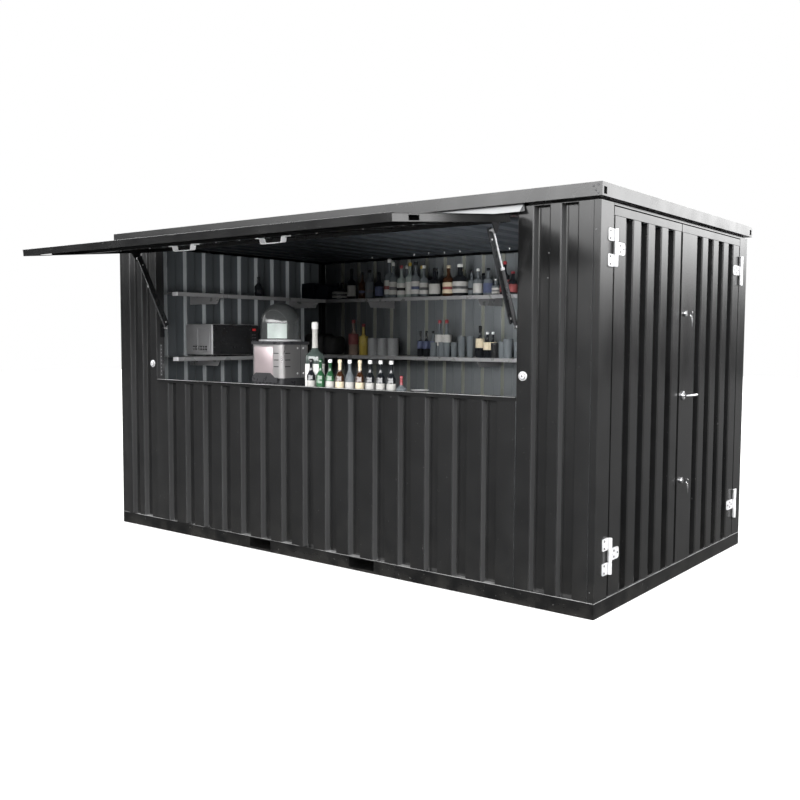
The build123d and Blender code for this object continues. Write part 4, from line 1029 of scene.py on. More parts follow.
for z in locks["heights"]:
    base = np.array((right, locks["y"], z))
    keyBase = np.array((locks["keyX"], locks["y"], z))
    ringMiddle = keyBase + (0, *locks["ring"])
    bowBase = base + xAxis * locks["rose"][1]
    hangBase = keyBase + locks["keyOffset"]
    lockShells += [
        turnShell(roseProfile, base, 18, locks["roseMarks"], yAxis, zAxis, xAxis),
        plateShell(bow, -locks["bowHalf"], locks["bowHalf"], xAxis, zAxis, yAxis, bowBase),
        keyRingShell(ringMiddle, *locks["ringSize"]),
        plateShell(hangingKey, -locks["keyHalf"], locks["keyHalf"], yAxis, zAxis, xAxis, hangBase),
    ]
neck, rim = locks["leverNeck"], locks["leverRose"]
leverRose = (
    (neck, 0), (rim, 0), (rim, 0.006), (rim - 0.002, 0.0085), (neck + 0.008, 0.0095), (neck + 0.006, 0.0065),
    (neck, 0.0065),
)
lockShells.append(collarShell(leverRose, (right, locks["y"], locks["leverZ"]), 24, yAxis, zAxis, xAxis))
makePiece(
    "locks_with_keys", lockShells, bodyOf["door_locks"], ["brightSteel", "boltDark"], ["door_locks"],
)
leverTurns = (
    (right + locks["leverFoot"], locks["y"]), (locks["leverOut"], locks["y"]),
    (locks["leverOut"], locks["leverEnd"]),
)
leverPath = roundCorners([(x, y, locks["leverZ"]) for x, y in leverTurns], locks["leverBend"], 6, False)
leverShells = [
    tubeShell(leverPath, locks["bar"], 14),
    turnShell(locks["barEnd"], leverPath[-1], 14, None, zAxis, xAxis, yAxis),
]
makePiece("lever_bar", leverShells, bodyOf["door_lever"], ["brightSteel"], ["door_lever"])

# Catches beside the opening: a bright disc in a dark ring
catch = {
    "size": (0.025, 0.012),
    "z": 1.2425,
    "places": (-1.603, 1.565),
    # the profile as shares of the radius and the height, and the finish of each band
    "shares": (
        (1, 0), (1, 0.45), (0.9, 0.6), (0.78, 0.6), (0.76, 0.35), (0.68, 0.35), (0.66, 0.85), (0.5, 1),
        (0.22, 1), (0.2, 0.7), (0.05, 0.7),
    ),
    "marks": (0, 0, 0, 1, 1, 1, 0, 0, 1, 1),
}
catchProfile = np.array(catch["shares"]) * catch["size"]
catchShells = [
    turnShell(catchProfile, (x, front, catch["z"]), 24, catch["marks"], xAxis, zAxis, -yAxis)
    for x in catch["places"]
]
makePiece("flap_catches", catchShells, "cabin", ["hingeZinc", "boltDark"], ["flap_locks"])

# Mortise strip on the left jamb, its screws and a small hanging key; X is measured from the jamb
jamb = {
    "low": (-1.110, 1.150),
    "high": (-1.092, 1.385),
    "corner": 0.006,
    "faces": (0.0005, 0.003),
    "screw": (0.0035, 0.0015),
    "screwY": -1.101,
    "screwEnds": (1.16, 1.375),
    "screwCount": 9,
    "key": ((0.003, -0.050), (0.004, -0.020), (0.012, -0.018), (0.012, 0.006)),     # half its outline
    "keyRound": 0.005,
    "keyThickness": 0.0022,
    "keyPlace": (0.006, -1.082, 1.235),
    "ringPlace": (0.0045, -1.088, 1.250),
    "ringSize": (0.012, 0.014),
}
jambFoot = xAxis * openingLeft
stripOutline = rounded(jamb["low"], jamb["high"], jamb["corner"])
screwX = openingLeft + jamb["faces"][1]
screwLevels = np.linspace(*jamb["screwEnds"], jamb["screwCount"])
screwPlaces = [(screwX, jamb["screwY"], z) for z in screwLevels]
keyOutline = roundCorners(mirrored(jamb["key"]), jamb["keyRound"])
jambShells = [
    plateShell(stripOutline, *jamb["faces"], yAxis, zAxis, xAxis, jambFoot),
    marked(spread(boltShell(*jamb["screw"]), screwPlaces), 1),
    plateShell(keyOutline, 0, jamb["keyThickness"], yAxis, zAxis, xAxis, jambFoot + jamb["keyPlace"]),
    keyRingShell(jambFoot + jamb["ringPlace"], *jamb["ringSize"]),
]
makePiece("jamb_strip", jambShells, "cabin", ["dullZinc", "hingeZinc"])

# Pale lines, partly worn paint and partly a painted highlight where the edges catch the light: the sill's front
# edge, and the top of the base in front and at the door end
wornAndLit = {
    "sillInset": 0.004,
    "sillFaces": (-0.0008, 0.0012),      # out of the front and into it
    "sillLevels": (-0.0025, 0.0006),     # below and above the edge
    "sillRound": 0.0006,
    "baseStart": 0.3,
    "baseInset": 0.006,
    "baseFaces": (-0.0007, 0.001),
    "baseLevels": (-0.0016, 0.0005),
    "baseRound": 0.0005,
}
sillY, sillZ = np.add(front, wornAndLit["sillFaces"]), np.add(sillTop, wornAndLit["sillLevels"])
baseY, baseZ = np.add(front, wornAndLit["baseFaces"]), np.add(skirtTop, wornAndLit["baseLevels"])
baseX = np.subtract(right, wornAndLit["baseFaces"])
sillLow, sillHigh = openingLeft + wornAndLit["sillInset"], openingRight - wornAndLit["sillInset"]
wornAndLitShells = [
    blockShell((sillLow, sillY[0], sillZ[0]), (sillHigh, sillY[1], sillZ[1]), wornAndLit["sillRound"], 1),
    blockShell(
        (wornAndLit["baseStart"], baseY[0], baseZ[0]), (right - wornAndLit["baseInset"], baseY[1], baseZ[1]),
        wornAndLit["baseRound"], 1,
    ),
    blockShell(
        (baseX[1], front + wornAndLit["baseInset"], baseZ[0]), (baseX[0], back - wornAndLit["baseInset"], baseZ[1]),
        wornAndLit["baseRound"], 1,
    ),
]
makePiece("worn_lines", wornAndLitShells, "cabin", ["wornAndLitLine"])

# Fascia: rivets near the front right corner, and a black sheet behind each lashing slot as painted shade in the
# slot
fascia = {
    "rivet": (0.0055, 0.003),
    "rivetY": -1.1755,
    "rivets": ((1.986, 2.178), (1.999, 2.204), (1.972, 2.200), (1.998, 2.164)),
    "slotShadeX": 2.0171,
    "slotShadeY": 1.139,
    "slotShadeLow": (-0.0006, -0.024, 2.156),
    "slotShadeHigh": (0.0006, 0.024, 2.202),
    "slotShadeRound": 0.0005,
}
rivet = boltShell(*fascia["rivet"], 8, xAxis, zAxis, -yAxis)
rivetPlaces = [(x, fascia["rivetY"], z) for x, z in fascia["rivets"]]
makePiece("fascia_rivets", [spread(rivet, rivetPlaces)], "cabin", ["boltDark"])
# a black sheet behind each slot: painted shade
slotShade = blockShell(fascia["slotShadeLow"], fascia["slotShadeHigh"], fascia["slotShadeRound"], 1)
slotShadePlaces = [(x * fascia["slotShadeX"], y * fascia["slotShadeY"], 0) for x in (-1, 1) for y in (-1, 1)]
makePiece("slot_liners", [spread(slotShade, slotShadePlaces)], "cabin", ["paintedShadeBlack"])

# Screws in the front panels, and screw tips that come through the ceiling above the back shelf
screws = {
    "head": (0.0035, 0.002),
    "panel": ((1.71, 1.886), (1.706, 1.758), (1.975, 1.99), (1.975, 0.14), (-1.985, 1.98)),
    "tip": ((0.006, 0), (0.006, -0.010), (0.002, -0.016)),
    "tipZ": 2.134,
    "tips": (
        (-1.022, 0.709), (-0.544, 0.678), (-0.388, 0.665), (-0.238, 0.672), (-0.091, 0.679), (0.362, 0.684),
    ),
}
headPlaces = [(x, front, z) for x, z in screws["panel"]]
tipPlaces = [(x, y, screws["tipZ"]) for x, y in screws["tips"]]
screwShells = [
    spread(boltShell(*screws["head"], 8, xAxis, zAxis, -yAxis), headPlaces),
    marked(spread(turnShell(screws["tip"], (0, 0, 0), 8), tipPlaces), 1),
]
makePiece("panel_screws", screwShells, "cabin", ["dullZinc", "hingeZinc"])

# Flap: bent strap handles, and bolts along its rail
strap = {
    "centres": (-0.390, 0.370),
    "along": 0.634,
    "width": 0.040,
    "top": 0.040,
    "half": 0.120,
    "foot": 0.035,
    "flare": 0.008,
    "drop": 0.035,
    "thick": 0.004,
    "bend": 0.009,
    "boltInset": 0.016,
    "bolt": (0.0065, 0.004),
    "railBolt": (0.005, 0.0035),
    "railBolts": (-1.36, -1.02, -0.72, -0.10, 0.10, 0.70, 1.02, 1.34),
}
knee = strap["half"] - strap["foot"]
inner = knee - strap["flare"]
top = strap["top"]
low = top + strap["drop"] - strap["thick"]
strapTurns = mirrored([(-strap["half"], top), (-knee, top), (-inner, low)])
strapEnds = (strap["along"] - strap["width"] / 2, strap["along"] + strap["width"] / 2)
strapBolts = strap["half"] - strap["boltInset"]
handleShells, handleBolts = [], []
for centre in strap["centres"]:
    path = roundCorners(strapTurns - (centre, 0), strap["bend"], 4, False)
    outline = thicken(path, strap["thick"])
    handleShells.append(carry(outline, *strapEnds, flapHinge, -xAxis, flapDown, flapOut))
    for x in (centre - strapBolts, centre + strapBolts):
        handleBolts.append(flapPoint(x, strap["along"], top + strap["thick"]))
handleShells.append(marked(spread(boltShell(*strap["bolt"], 8, xAxis, flapOut, flapDown), handleBolts), 1))
makePiece("flap_straps", handleShells, "flap", ["hingeZinc", "boltDark"], ["flap_handles"])
railBolt = boltShell(*strap["railBolt"], 8, xAxis, flapOut, flapDown)
railBolts = [flapPoint(x, strap["along"], top) for x in strap["railBolts"]]
makePiece("flap_bolts", [spread(railBolt, railBolts)], "flap", ["hingeZinc"])

# Gas struts: bright rod and ball ends, a satin tube, and a flat guard beside them
struts = {
    "low": np.array((0, -1.090, 1.505)),
    "high": np.array((0, -1.330, 2.000)),
    "left": {"axis": -1.510, "guard": (-1.488, -1.484)},
    "right": {"axis": 1.490, "guard": (1.464, 1.468)},
    "tubeEnd": 0.330,
    "collar": ((0.0062, 0), (0.0118, 0.0015), (0.0118, 0.012), (0.0062, 0.013)),
    "ball": 0.0112,
    "ballArc": 82.8,                     # degrees from its middle to each end
    "guardHalf": 0.020,
    "guardStart": 0.021,
    "guardTail": 0.015,
    "guardCorner": 0.010,
    "bolt": (0.006, 0.003),
    "boltInset": 0.05,
}
strutLine = struts["high"] - struts["low"]
strutLength = np.linalg.norm(strutLine)
strutUp = strutLine / strutLength
strutSide = np.cross(xAxis, strutUp)
turns = np.radians(np.linspace(-struts["ballArc"], struts["ballArc"], 9))
ball = np.stack((np.cos(turns), np.sin(turns)), -1) * struts["ball"]
guardEnds = (struts["guardStart"], strutLength + struts["guardTail"])
guardOutline = rounded(
    (guardEnds[0], -struts["guardHalf"]), (guardEnds[1], struts["guardHalf"]), struts["guardCorner"],
)
guardBolt = boltShell(*struts["bolt"], 8, strutUp, strutSide, xAxis)
for sideName in ("left", "right"):
    low, high = (struts[end] + xAxis * struts[sideName]["axis"] for end in ("low", "high"))
    cap = collarShell(struts["collar"], low + strutUp * struts["tubeEnd"], 16, xAxis, strutSide, strutUp)
    lowBall, highBall = (turnShell(ball, place, 16, None, strutUp, strutSide, xAxis) for place in (low, high))
    tubeBody, rodBody = bodyOf[f"strut_tube_{sideName}"], bodyOf[f"strut_rod_{sideName}"]
    makePiece(f"strut_collar_{sideName}", [cap, lowBall], tubeBody, ["hingeZinc"])
    makePiece(f"strut_ball_{sideName}", [highBall], rodBody, ["hingeZinc"])
    faces = struts[sideName]["guard"]
    boltFoot = struts["low"] + xAxis * faces[1]
    boltInset = struts["boltInset"]
    boltPlaces = [boltFoot + strutUp * along for along in (boltInset, strutLength - boltInset)]
    guardShells = [
        plateShell(guardOutline, *faces, strutUp, strutSide, xAxis, struts["low"]),
        marked(spread(guardBolt, boltPlaces), 1),
    ]
    makePiece(
        f"strut_guard_plate_{sideName}", guardShells, bodyOf[f"strut_guard_{sideName}"],
        ["guardPaint", "hingeZinc"], [f"strut_guard_{sideName}"],
    )
softCopies("blackMetal", 0.0006, "strut_jamb_mounts", "strut_flap_mounts")
softCopies("paleFlashing", 0.0006, "flap_flashing")
softCopies("floorBoard", 0.002, "floor_board")
print("fittings ready")

# Bottles: one turned profile with its own finish on each band, from base to cap
glassNames = [
    "darkGlass", "greenGlass", "brownGlass", "clearGlass", "paper", "creamPaper", "redPaper", "bluePaper",
    "amberPaper", "yellowPaper", "whitePlastic", "redPlastic", "yellowPlastic", "blackPlastic", "frostGlass",
    "sodaDrink", "hingeZinc", "whitePaper", "tallGlass", "boltDark",
]
glassNumber = {name: number for number, name in enumerate(glassNames)}
bottleForms = {
    # neck as a share of the radius; shoulder, its top, label's foot and head as shares of the height; sides
    "small": (0.40, 0.50, 0.72, 0.12, 0.40, 16),
    "smallBare": (0.40, 0.50, 0.72, 0.12, 0.42, 16),
    "tall": (0.31, 0.52, 0.64, 0.08, 0.42, 24),
    "flask": (0.28, 0.45, 0.62, 0.14, 0.42, 16),
    "upper": (0.34, 0.55, 0.68, 0.10, 0.45, 14),
    "behind": (0.34, 0.55, 0.68, 0.10, 0.45, 10),
    "lower": (0.34, 0.52, 0.68, 0.30, 0.60, 14),
    "left": (0.34, 0.50, 0.70, 0.14, 0.42, 16),
}
standGap = 0.0005


def bottleShell(place, radius, height, form, glass, label=None, cap=None, neckWrap=None, stripe=None):
    # radius and height of each ring: foot, label panel, shoulder as a cosine, neck, lip and cap
    neck, shoulder, top, labelFrom, labelTo, sides = bottleForms[form]
    label, cap, neckWrap = label or glass, cap or glass, neckWrap or glass
    stripe = stripe or label
    neckRadius = neck * radius
    share = np.linspace(0, 1, 6)
    bend = 0.5 + 0.5 * np.cos(np.pi * share)
    shoulderRadius = neckRadius + (radius - neckRadius) * bend
    shoulderHeight = height * (shoulder + (top - shoulder) * share)
    labelRadius = radius * 1.012
    labelLow, labelHigh = labelFrom * height, labelTo * height
    profile = [
        (0.85 * radius, 0), (radius, 0.025 * height), (radius, labelLow), (labelRadius, labelLow + 0.0005),
        (labelRadius, 0.65 * labelLow + 0.35 * labelHigh), (labelRadius, 0.4 * labelLow + 0.6 * labelHigh),
        (labelRadius, labelHigh - 0.0005), (radius, labelHigh), *zip(shoulderRadius, shoulderHeight),
        (0.92 * neckRadius, 0.78 * height), (0.92 * neckRadius, 0.90 * height),
        (1.12 * neckRadius, 0.905 * height), (1.12 * neckRadius, 0.985 * height), (0.85 * neckRadius, height),
    ]
    bands = [glass] * 2 + [label] * 2 + [stripe] + [label] * 2 + [glass] * 6 + [neckWrap] * 2 + [cap] * 3
    return turnShell(profile, place, sides, [glassNumber[name] for name in bands])


def cupShell(place, radius, height, finish, taper):
    # a cup or glass: wider at its rim than at its foot, with the inside turned down from the rim
    inside = 0.93 * radius
    profile = (
        (taper * radius, 0), (radius, height), (inside, height), (taper * inside, 0.08 * height),
        (0.02 * radius, 0.07 * height),
    )
    return turnShell(profile, place, 16, [glassNumber[finish]] * 4)


def shelfBottles(rows, shelfTop, y, step, form, stripes=(None,)):
    # a bottle for each row of place along the shelf, height of its top, radius, glass, label and cap;
    # in turn they stand at y, one step behind it and two steps behind it
    return [
        bottleShell(
            (x, y + step * (number % 3), shelfTop + standGap), radius, top - shelfTop, form, glass, label,
            cap, stripe=stripes[number % len(stripes)],
        )
        for number, (x, top, radius, glass, label, cap) in enumerate(rows)
    ]


# Row on the counter: nine small bottles, a tall one behind them and a flask
counterPlan = {
    "first": (-0.100, -1.020),
    "pitch": 0.084,
    "size": (0.0295, 0.235),             # radius and height
    # glass, label, cap and neck wrap
    "styles": (
        ("darkGlass", "paper", "blackPlastic", "darkGlass"),
        ("greenGlass", "greenGlass", "greenGlass", "greenGlass"),
        ("greenGlass", "paper", "hingeZinc", "greenGlass"),
        ("brownGlass", "creamPaper", "creamPaper", "creamPaper"),
        ("frostGlass", "paper", "hingeZinc", "frostGlass"),
        ("brownGlass", "creamPaper", "creamPaper", "creamPaper"),
        ("darkGlass", "paper", "whitePlastic", "darkGlass"),
        ("darkGlass", "paper", "whitePlastic", "darkGlass"),
        ("darkGlass", "paper", "whitePlastic", "darkGlass"),
    ),
    "tallPlace": (-0.150, -0.930),
    "tallSize": (0.0645, 0.476),
    "tallStyle": ("tallGlass", "whitePaper", "whitePlastic", "paper"),
    "flaskPlace": (0.650, -1.020),
    "flaskSize": (0.0345, 0.144),
    "flaskStyle": ("frostGlass", "frostGlass", "redPlastic", "redPlastic"),
}
counterTop = boxOf("counter")[1][2]
rowShells = []
for number, style in enumerate(counterPlan["styles"]):
    place = (counterPlan["first"][0] + counterPlan["pitch"] * number, counterPlan["first"][1], counterTop)
    form = "smallBare" if style[0] == style[1] else "small"
    rowShells.append(bottleShell(place, *counterPlan["size"], form, *style))
for form in ("tall", "flask"):
    place = (*counterPlan[form + "Place"], counterTop)
    rowShells.append(bottleShell(place, *counterPlan[form + "Size"], form, *counterPlan[form + "Style"]))
makePiece("counter_row", rowShells, "cabin", glassNames, ["counter_bottles"], 50)

# Upper back shelf: place along it, top, radius, glass, label, cap; a shorter row stands behind
upperTop = boxOf("back_shelves")[1][2]
upperRow = (
    (-1.473, 1.932, 0.072, "darkGlass", "paper", "darkGlass"),
    (-1.345, 2.052, 0.040, "darkGlass", "paper", "blackPlastic"),
    (-1.228, 2.018, 0.034, "brownGlass", "brownGlass", "blackPlastic"),
    (-1.127, 2.031, 0.040, "frostGlass", "frostGlass", "blackPlastic"),
    (-1.029, 2.010, 0.038, "darkGlass", "bluePaper", "darkGlass"),
    (-0.924, 2.120, 0.046, "frostGlass", "paper", "whitePlastic"),
    (-0.862, 2.084, 0.036, "frostGlass", "paper", "whitePlastic"),
    (-0.782, 2.057, 0.040, "clearGlass", "paper", "redPlastic"),
    (-0.700, 2.076, 0.040, "clearGlass", "paper", "yellowPlastic"),
    (-0.620, 2.078, 0.038, "frostGlass", "paper", "blackPlastic"),
    (-0.543, 2.046, 0.038, "frostGlass", "paper", "hingeZinc"),
    (-0.439, 2.020, 0.050, "darkGlass", "paper", "blackPlastic"),
    (-0.283, 2.035, 0.050, "brownGlass", "creamPaper", "creamPaper"),
    (-0.177, 2.041, 0.066, "darkGlass", "paper", "whitePlastic"),
    (-0.073, 1.988, 0.030, "frostGlass", "frostGlass", "blackPlastic"),
    (0.004, 1.996, 0.040, "frostGlass", "paper", "whitePlastic"),
    (0.093, 1.997, 0.042, "frostGlass", "bluePaper", "darkGlass"),
    (0.156, 1.911, 0.034, "frostGlass", "paper", "whitePlastic"),
    (0.254, 2.043, 0.040, "darkGlass", "redPaper", "redPlastic"),
    (0.320, 1.962, 0.040, "darkGlass", "redPaper", "redPlastic"),
    (0.420, 2.010, 0.040, "greenGlass", "paper", "blackPlastic"),
    (0.520, 2.040, 0.042, "brownGlass", "creamPaper", "yellowPlastic"),
    (0.620, 1.990, 0.040, "clearGlass", "paper", "whitePlastic"),
    (0.730, 2.030, 0.045, "darkGlass", "amberPaper", "blackPlastic"),
)
stripes = ("blackPlastic", None, "bluePaper", "boltDark", None, "redPaper", "boltDark")
behind = {"rows": slice(4, 18, 2), "shift": 0.045, "lower": 0.020, "radius": 0.036}
behindRow = [
    (x + behind["shift"], top - behind["lower"], behind["radius"], *style)
    for x, top, radius, *style in upperRow[behind["rows"]]
]
upperShells = shelfBottles(upperRow, upperTop, 0.800, 0.012, "upper", stripes)
upperShells += shelfBottles(behindRow, upperTop, 0.930, 0.0, "behind")
makePiece("upper_shelf_bottles", upperShells, "cabin", glassNames, (), 50)
upperFoot = upperTop + standGap
boxes = [
    blockShell((-1.900, 0.745, upperFoot), (-1.745, 0.930, 1.935), 0.004, 1),
    blockShell((-1.735, 0.760, upperFoot), (-1.590, 0.930, 1.915), 0.004, 1),
]
makePiece("upper_shelf_boxes", boxes, "cabin", ["cardboard"])

# Lower back shelf: bottles, in the upper shelf's columns, glasses and cups, stacks of cups, and two soft bags
lowerTop = boxOf("microwave")[0][2]
lowerFoot = lowerTop + standGap
lowerRow = (
    (-1.303, 1.598, 0.045, "sodaDrink", "redPaper", "redPlastic"),
    (-1.186, 1.562, 0.040, "yellowPlastic", "yellowPaper", "redPlastic"),
    (-0.559, 1.500, 0.028, "darkGlass", "bluePaper", "blackPlastic"),
    (-0.496, 1.500, 0.028, "darkGlass", "bluePaper", "blackPlastic"),
    (-0.429, 1.500, 0.028, "frostGlass", "bluePaper", "blackPlastic"),
    (-0.361, 1.590, 0.040, "frostGlass", "paper", "redPlastic"),
    (-0.290, 1.590, 0.040, "frostGlass", "paper", "redPlastic"),
    (0.036, 1.540, 0.036, "darkGlass", "creamPaper", "blackPlastic"),
    (0.106, 1.492, 0.034, "darkGlass", "creamPaper", "hingeZinc"),
    (0.157, 1.492, 0.030, "darkGlass", "creamPaper", "hingeZinc"),
)
cupRow = (
    # place along the shelf, radius, height, finish, foot as a share of the rim
    (-0.388, 0.030, 0.118, "frostGlass", 0.85), (-0.320, 0.030, 0.120, "frostGlass", 0.85),
    (-0.256, 0.030, 0.118, "frostGlass", 0.85), (-0.197, 0.030, 0.120, "frostGlass", 0.85),
    (-0.110, 0.032, 0.170, "frostGlass", 0.80), (-0.041, 0.032, 0.170, "frostGlass", 0.80),
    (0.205, 0.035, 0.118, "blackPlastic", 0.92), (0.262, 0.034, 0.130, "frostGlass", 0.88),
    (0.324, 0.040, 0.150, "frostGlass", 0.80), (0.400, 0.034, 0.130, "frostGlass", 0.85),
    (0.480, 0.034, 0.130, "frostGlass", 0.85), (0.560, 0.034, 0.130, "frostGlass", 0.85),
)
lowerShells = shelfBottles(lowerRow, lowerTop, 0.790, 0.0, "lower")
for number, (x, *cup) in enumerate(cupRow):
    lowerShells.append(cupShell((x, 0.745 + 0.02 * (number % 2), lowerFoot), *cup))
makePiece("lower_shelf_glass", lowerShells, "cabin", glassNames, (), 50)
stacks = {
    "places": (-1.083, -0.976, -0.862),
    "y": 0.800,
    "radius": 0.050,
    "groove": 0.0012,
    "height": 0.150,
    "rims": 13,
}
levels = np.linspace(0, stacks["height"], stacks["rims"])
stackProfile = [(stacks["radius"] - stacks["groove"] * (step % 2), z) for step, z in enumerate(levels)]
stackShells = [turnShell(stackProfile, (x, stacks["y"], lowerFoot), 18) for x in stacks["places"]]
makePiece("cup_stacks", stackShells, "cabin", ["cupPaper"], (), 60)
lumps = [
    blockShell((-1.880, 0.740, lowerFoot), (-1.650, 0.960, 1.480), 0.050, 4),
    blockShell((-1.640, 0.745, lowerFoot), (-1.500, 0.920, 1.455), 0.040, 4),
]
makePiece("lower_shelf_bags", lumps, "cabin", ["rubber"])
leftBottle = bottleShell((-1.70, 0.02, upperFoot), 0.034, 0.17, "left", "darkGlass", None, "blackPlastic")
makePiece("left_shelf_bottle", [leftBottle], "cabin", glassNames, (), 50)

# A small dish on the sill
dish = {
    "place": (0.850, -1.100),
    "profile": ((0.030, 0), (0.052, 0.010), (0.055, 0.010), (0.034, 0.002), (0.002, 0.002)),
}
dishShell = turnShell(dish["profile"], (*dish["place"], sillTop + standGap), 24)
makePiece("sill_dish", [dishShell], "cabin", ["hingeZinc"])
print("bottles ready:", len(counterPlan["styles"]) + 2 + len(upperRow) + len(behindRow) + len(lowerRow))


def cabinPieces(rows):
    # a piece on the cabin for each row of name, shells, finish and, for some, the node it replaces
    for name, shells, finishName, *stands in rows:
        makePiece(name, shells, "cabin", [finishName], stands)


# Microwave oven: painted case with a round-cornered frame and vents, black glass door and control strip
(ovenLow, ovenHigh) = boxOf("microwave")
oven = {
    "foot": 0.010,
    "footRadius": 0.014,
    "footInset": (0.04, 0.05),
    "corner": 0.012,
    "door": 0.014,
    "frame": 0.0055,
    "frameLow": (0.150, 0.030),          # in from the case's low corner
    "frameHigh": (0.035, 0.030),         # and from its high one
    "frameCorner": 0.035,
    "panel": 0.095,
    "ventLow": (-0.009, -0.0015, -0.0065),
    "ventHigh": (0.009, 0.0010, 0.0065),
    "ventStart": 0.075,
    "ventStep": 0.030,
    "ventLevels": (0.045, 0.066),
    "doorSeam": 0.001,
    "doorEdge": 0.004,
    "lampFaces": (-0.0005, 0.0018),
    "lampSpan": (0.022, 0.060),
    "lampLevels": (0.052, 0.034),
    "button": (0.005, 0.002),
    "buttonFirst": (0.025, 0.085),
    "buttonStep": (0.016, 0.024),
}
caseLow = np.array((ovenLow[0], ovenLow[1], ovenLow[2] + oven["foot"]))
caseHigh = np.array((ovenHigh[0] - oven["door"], ovenHigh[1], ovenHigh[2]))
frameLow, frameHigh = caseLow[::2] + oven["frameLow"], caseHigh[::2] - oven["frameHigh"]
frameLoop = rounded(frameLow, frameHigh, oven["frameCorner"], 5)
framePath = np.stack((frameLoop[:, 0], np.full(len(frameLoop), ovenLow[1] + 0.0005), frameLoop[:, 1]), -1)
footX = (caseLow[0] + oven["footInset"][0], caseHigh[0] - oven["footInset"][0])
footY = (caseLow[1] + oven["footInset"][1], caseHigh[1] - oven["footInset"][1])
footShell = turnShell([(oven["footRadius"], z) for z in (0, oven["foot"] + 0.002)], (0, 0, 0), 10)
ventPlaces = [
    (caseHigh[0] - oven["ventStart"] - oven["ventStep"] * column, ovenLow[1], caseLow[2] + level)
    for level in oven["ventLevels"] for column in range(6)
]
doorBack = caseHigh[0] - 0.0005
glassFace, doorFace = ovenHigh[0] - 0.001, ovenHigh[0] - 0.003
doorSplit = caseHigh[1] - oven["panel"]
doorFoot, doorHead = caseLow[2] + 0.004, caseHigh[2] - 0.006
doorLeft, doorRight = caseLow[1] + 0.006, caseHigh[1] - 0.006
doorSeam, doorEdge = oven["doorSeam"], oven["doorEdge"]
doorShells = [
    blockShell((doorBack, doorLeft, doorFoot), (glassFace, doorSplit - doorSeam, doorHead), doorEdge, 2),
    blockShell((doorBack, doorSplit + doorSeam, doorFoot), (doorFace, doorRight, doorHead), doorEdge, 2),
    spread(footShell, [(x, y, ovenLow[2]) for x in footX for y in footY]),
    spread(blockShell(oven["ventLow"], oven["ventHigh"], 0.0009, 1), ventPlaces),
]
lampY, lampZ = np.add(doorSplit, oven["lampSpan"]), np.subtract(caseHigh[2], oven["lampLevels"])
lampX = np.add(doorFace, oven["lampFaces"])
lampShell = blockShell((lampX[0], lampY[0], lampZ[0]), (lampX[1], lampY[1], lampZ[1]), 0.001, 1)
firstButton = np.array((doorFace, doorSplit + oven["buttonFirst"][0], caseHigh[2] - oven["buttonFirst"][1]))
buttonPlaces = [
    firstButton + (0, oven["buttonStep"][0] * column, -oven["buttonStep"][1] * row)
    for column in range(3) for row in range(5)
]
# a pale strip along the case's front upright edge: a painted highlight
ovenEdgeHighlight = blockShell(
    (caseHigh[0] - 0.013, ovenLow[1] - 0.0003, caseLow[2] + 0.006),
    (caseHigh[0] + 0.0005, ovenLow[1] + 0.012, caseHigh[2] - 0.006), 0.0035, 2,
)
cabinPieces([("oven_trim", [ovenEdgeHighlight], "hingeZinc")])

# Pale plates on the left shelves' front corners: painted highlights where the corners catch the light
shelfLow, shelfHigh = boxOf("left_shelves")
plate = {"reach": 0.060, "height": 0.029, "proud": (0.0004, 0.0006), "depth": 0.003, "round": 0.0008}
cornerHighlightShells = [
    blockShell(
        (shelfHigh[0] - plate["reach"], shelfLow[1] - plate["proud"][1], top - plate["height"]),
        (shelfHigh[0] + plate["proud"][0], shelfLow[1] + plate["depth"], top - 0.0005), plate["round"], 1,
    )
    for top in (lowerTop, upperTop)
]
cabinPieces([("shelf_corners", cornerHighlightShells, "hingeZinc")])
caseShells = [blockShell(caseLow, caseHigh, oven["corner"], 3), tubeShell(framePath, oven["frame"], 6, True)]
cabinPieces([
    ("oven_case", caseShells, "ovenPaint", "microwave"),
    ("oven_door", doorShells, "blackPlastic"),
    ("oven_lamp", [lampShell], "redLamp"),
    ("oven_buttons", [spread(boltShell(*oven["button"], 10), buttonPlaces)], "boltDark"),
])

# Draught dispenser: dark foot under an arched apron, steel case with round corners, a panel and a black band
(bodyLow, bodyHigh) = boxOf("dispenser_body")
tap = {
    "inset": 0.008,
    "corner": 0.040,
    "foot": 0.098,
    "footInset": 0.010,
    "footCorner": 0.032,
    "band": 0.020,
    "bandOut": 0.0075,
    "panelInset": (0.034, 0.085),        # from the case's left and right
    "ventLevels": (0.075, 0.120, 0.165),
    "ventRound": 0.0010,
    "seam": (0.176, 0.179),              # back from the front face
    "rivet": (0.007, 0.003),
    "rivetPlaces": (0.150, 0.205),
    "ribFirst": 0.060,
    "ribWidth": 0.018,
    "ribStep": 0.036,
}
tapFoot, tapCase, tapBand = bodyLow[2], bodyLow[2] + tap["foot"], bodyHigh[2] - tap["band"]
innerLow, innerHigh = bodyLow[:2] + tap["inset"], bodyHigh[:2] - tap["inset"]
tapLeft, tapRight, tapFace = innerLow[0], innerHigh[0], innerLow[1]


def tapWall(inset, low, high, corner):
    # the case's plan, set in on all sides, as an upright block from one height to another
    return plateShell(rounded(innerLow + inset, innerHigh - inset, corner, 6), low, high, xAxis, yAxis, zAxis)


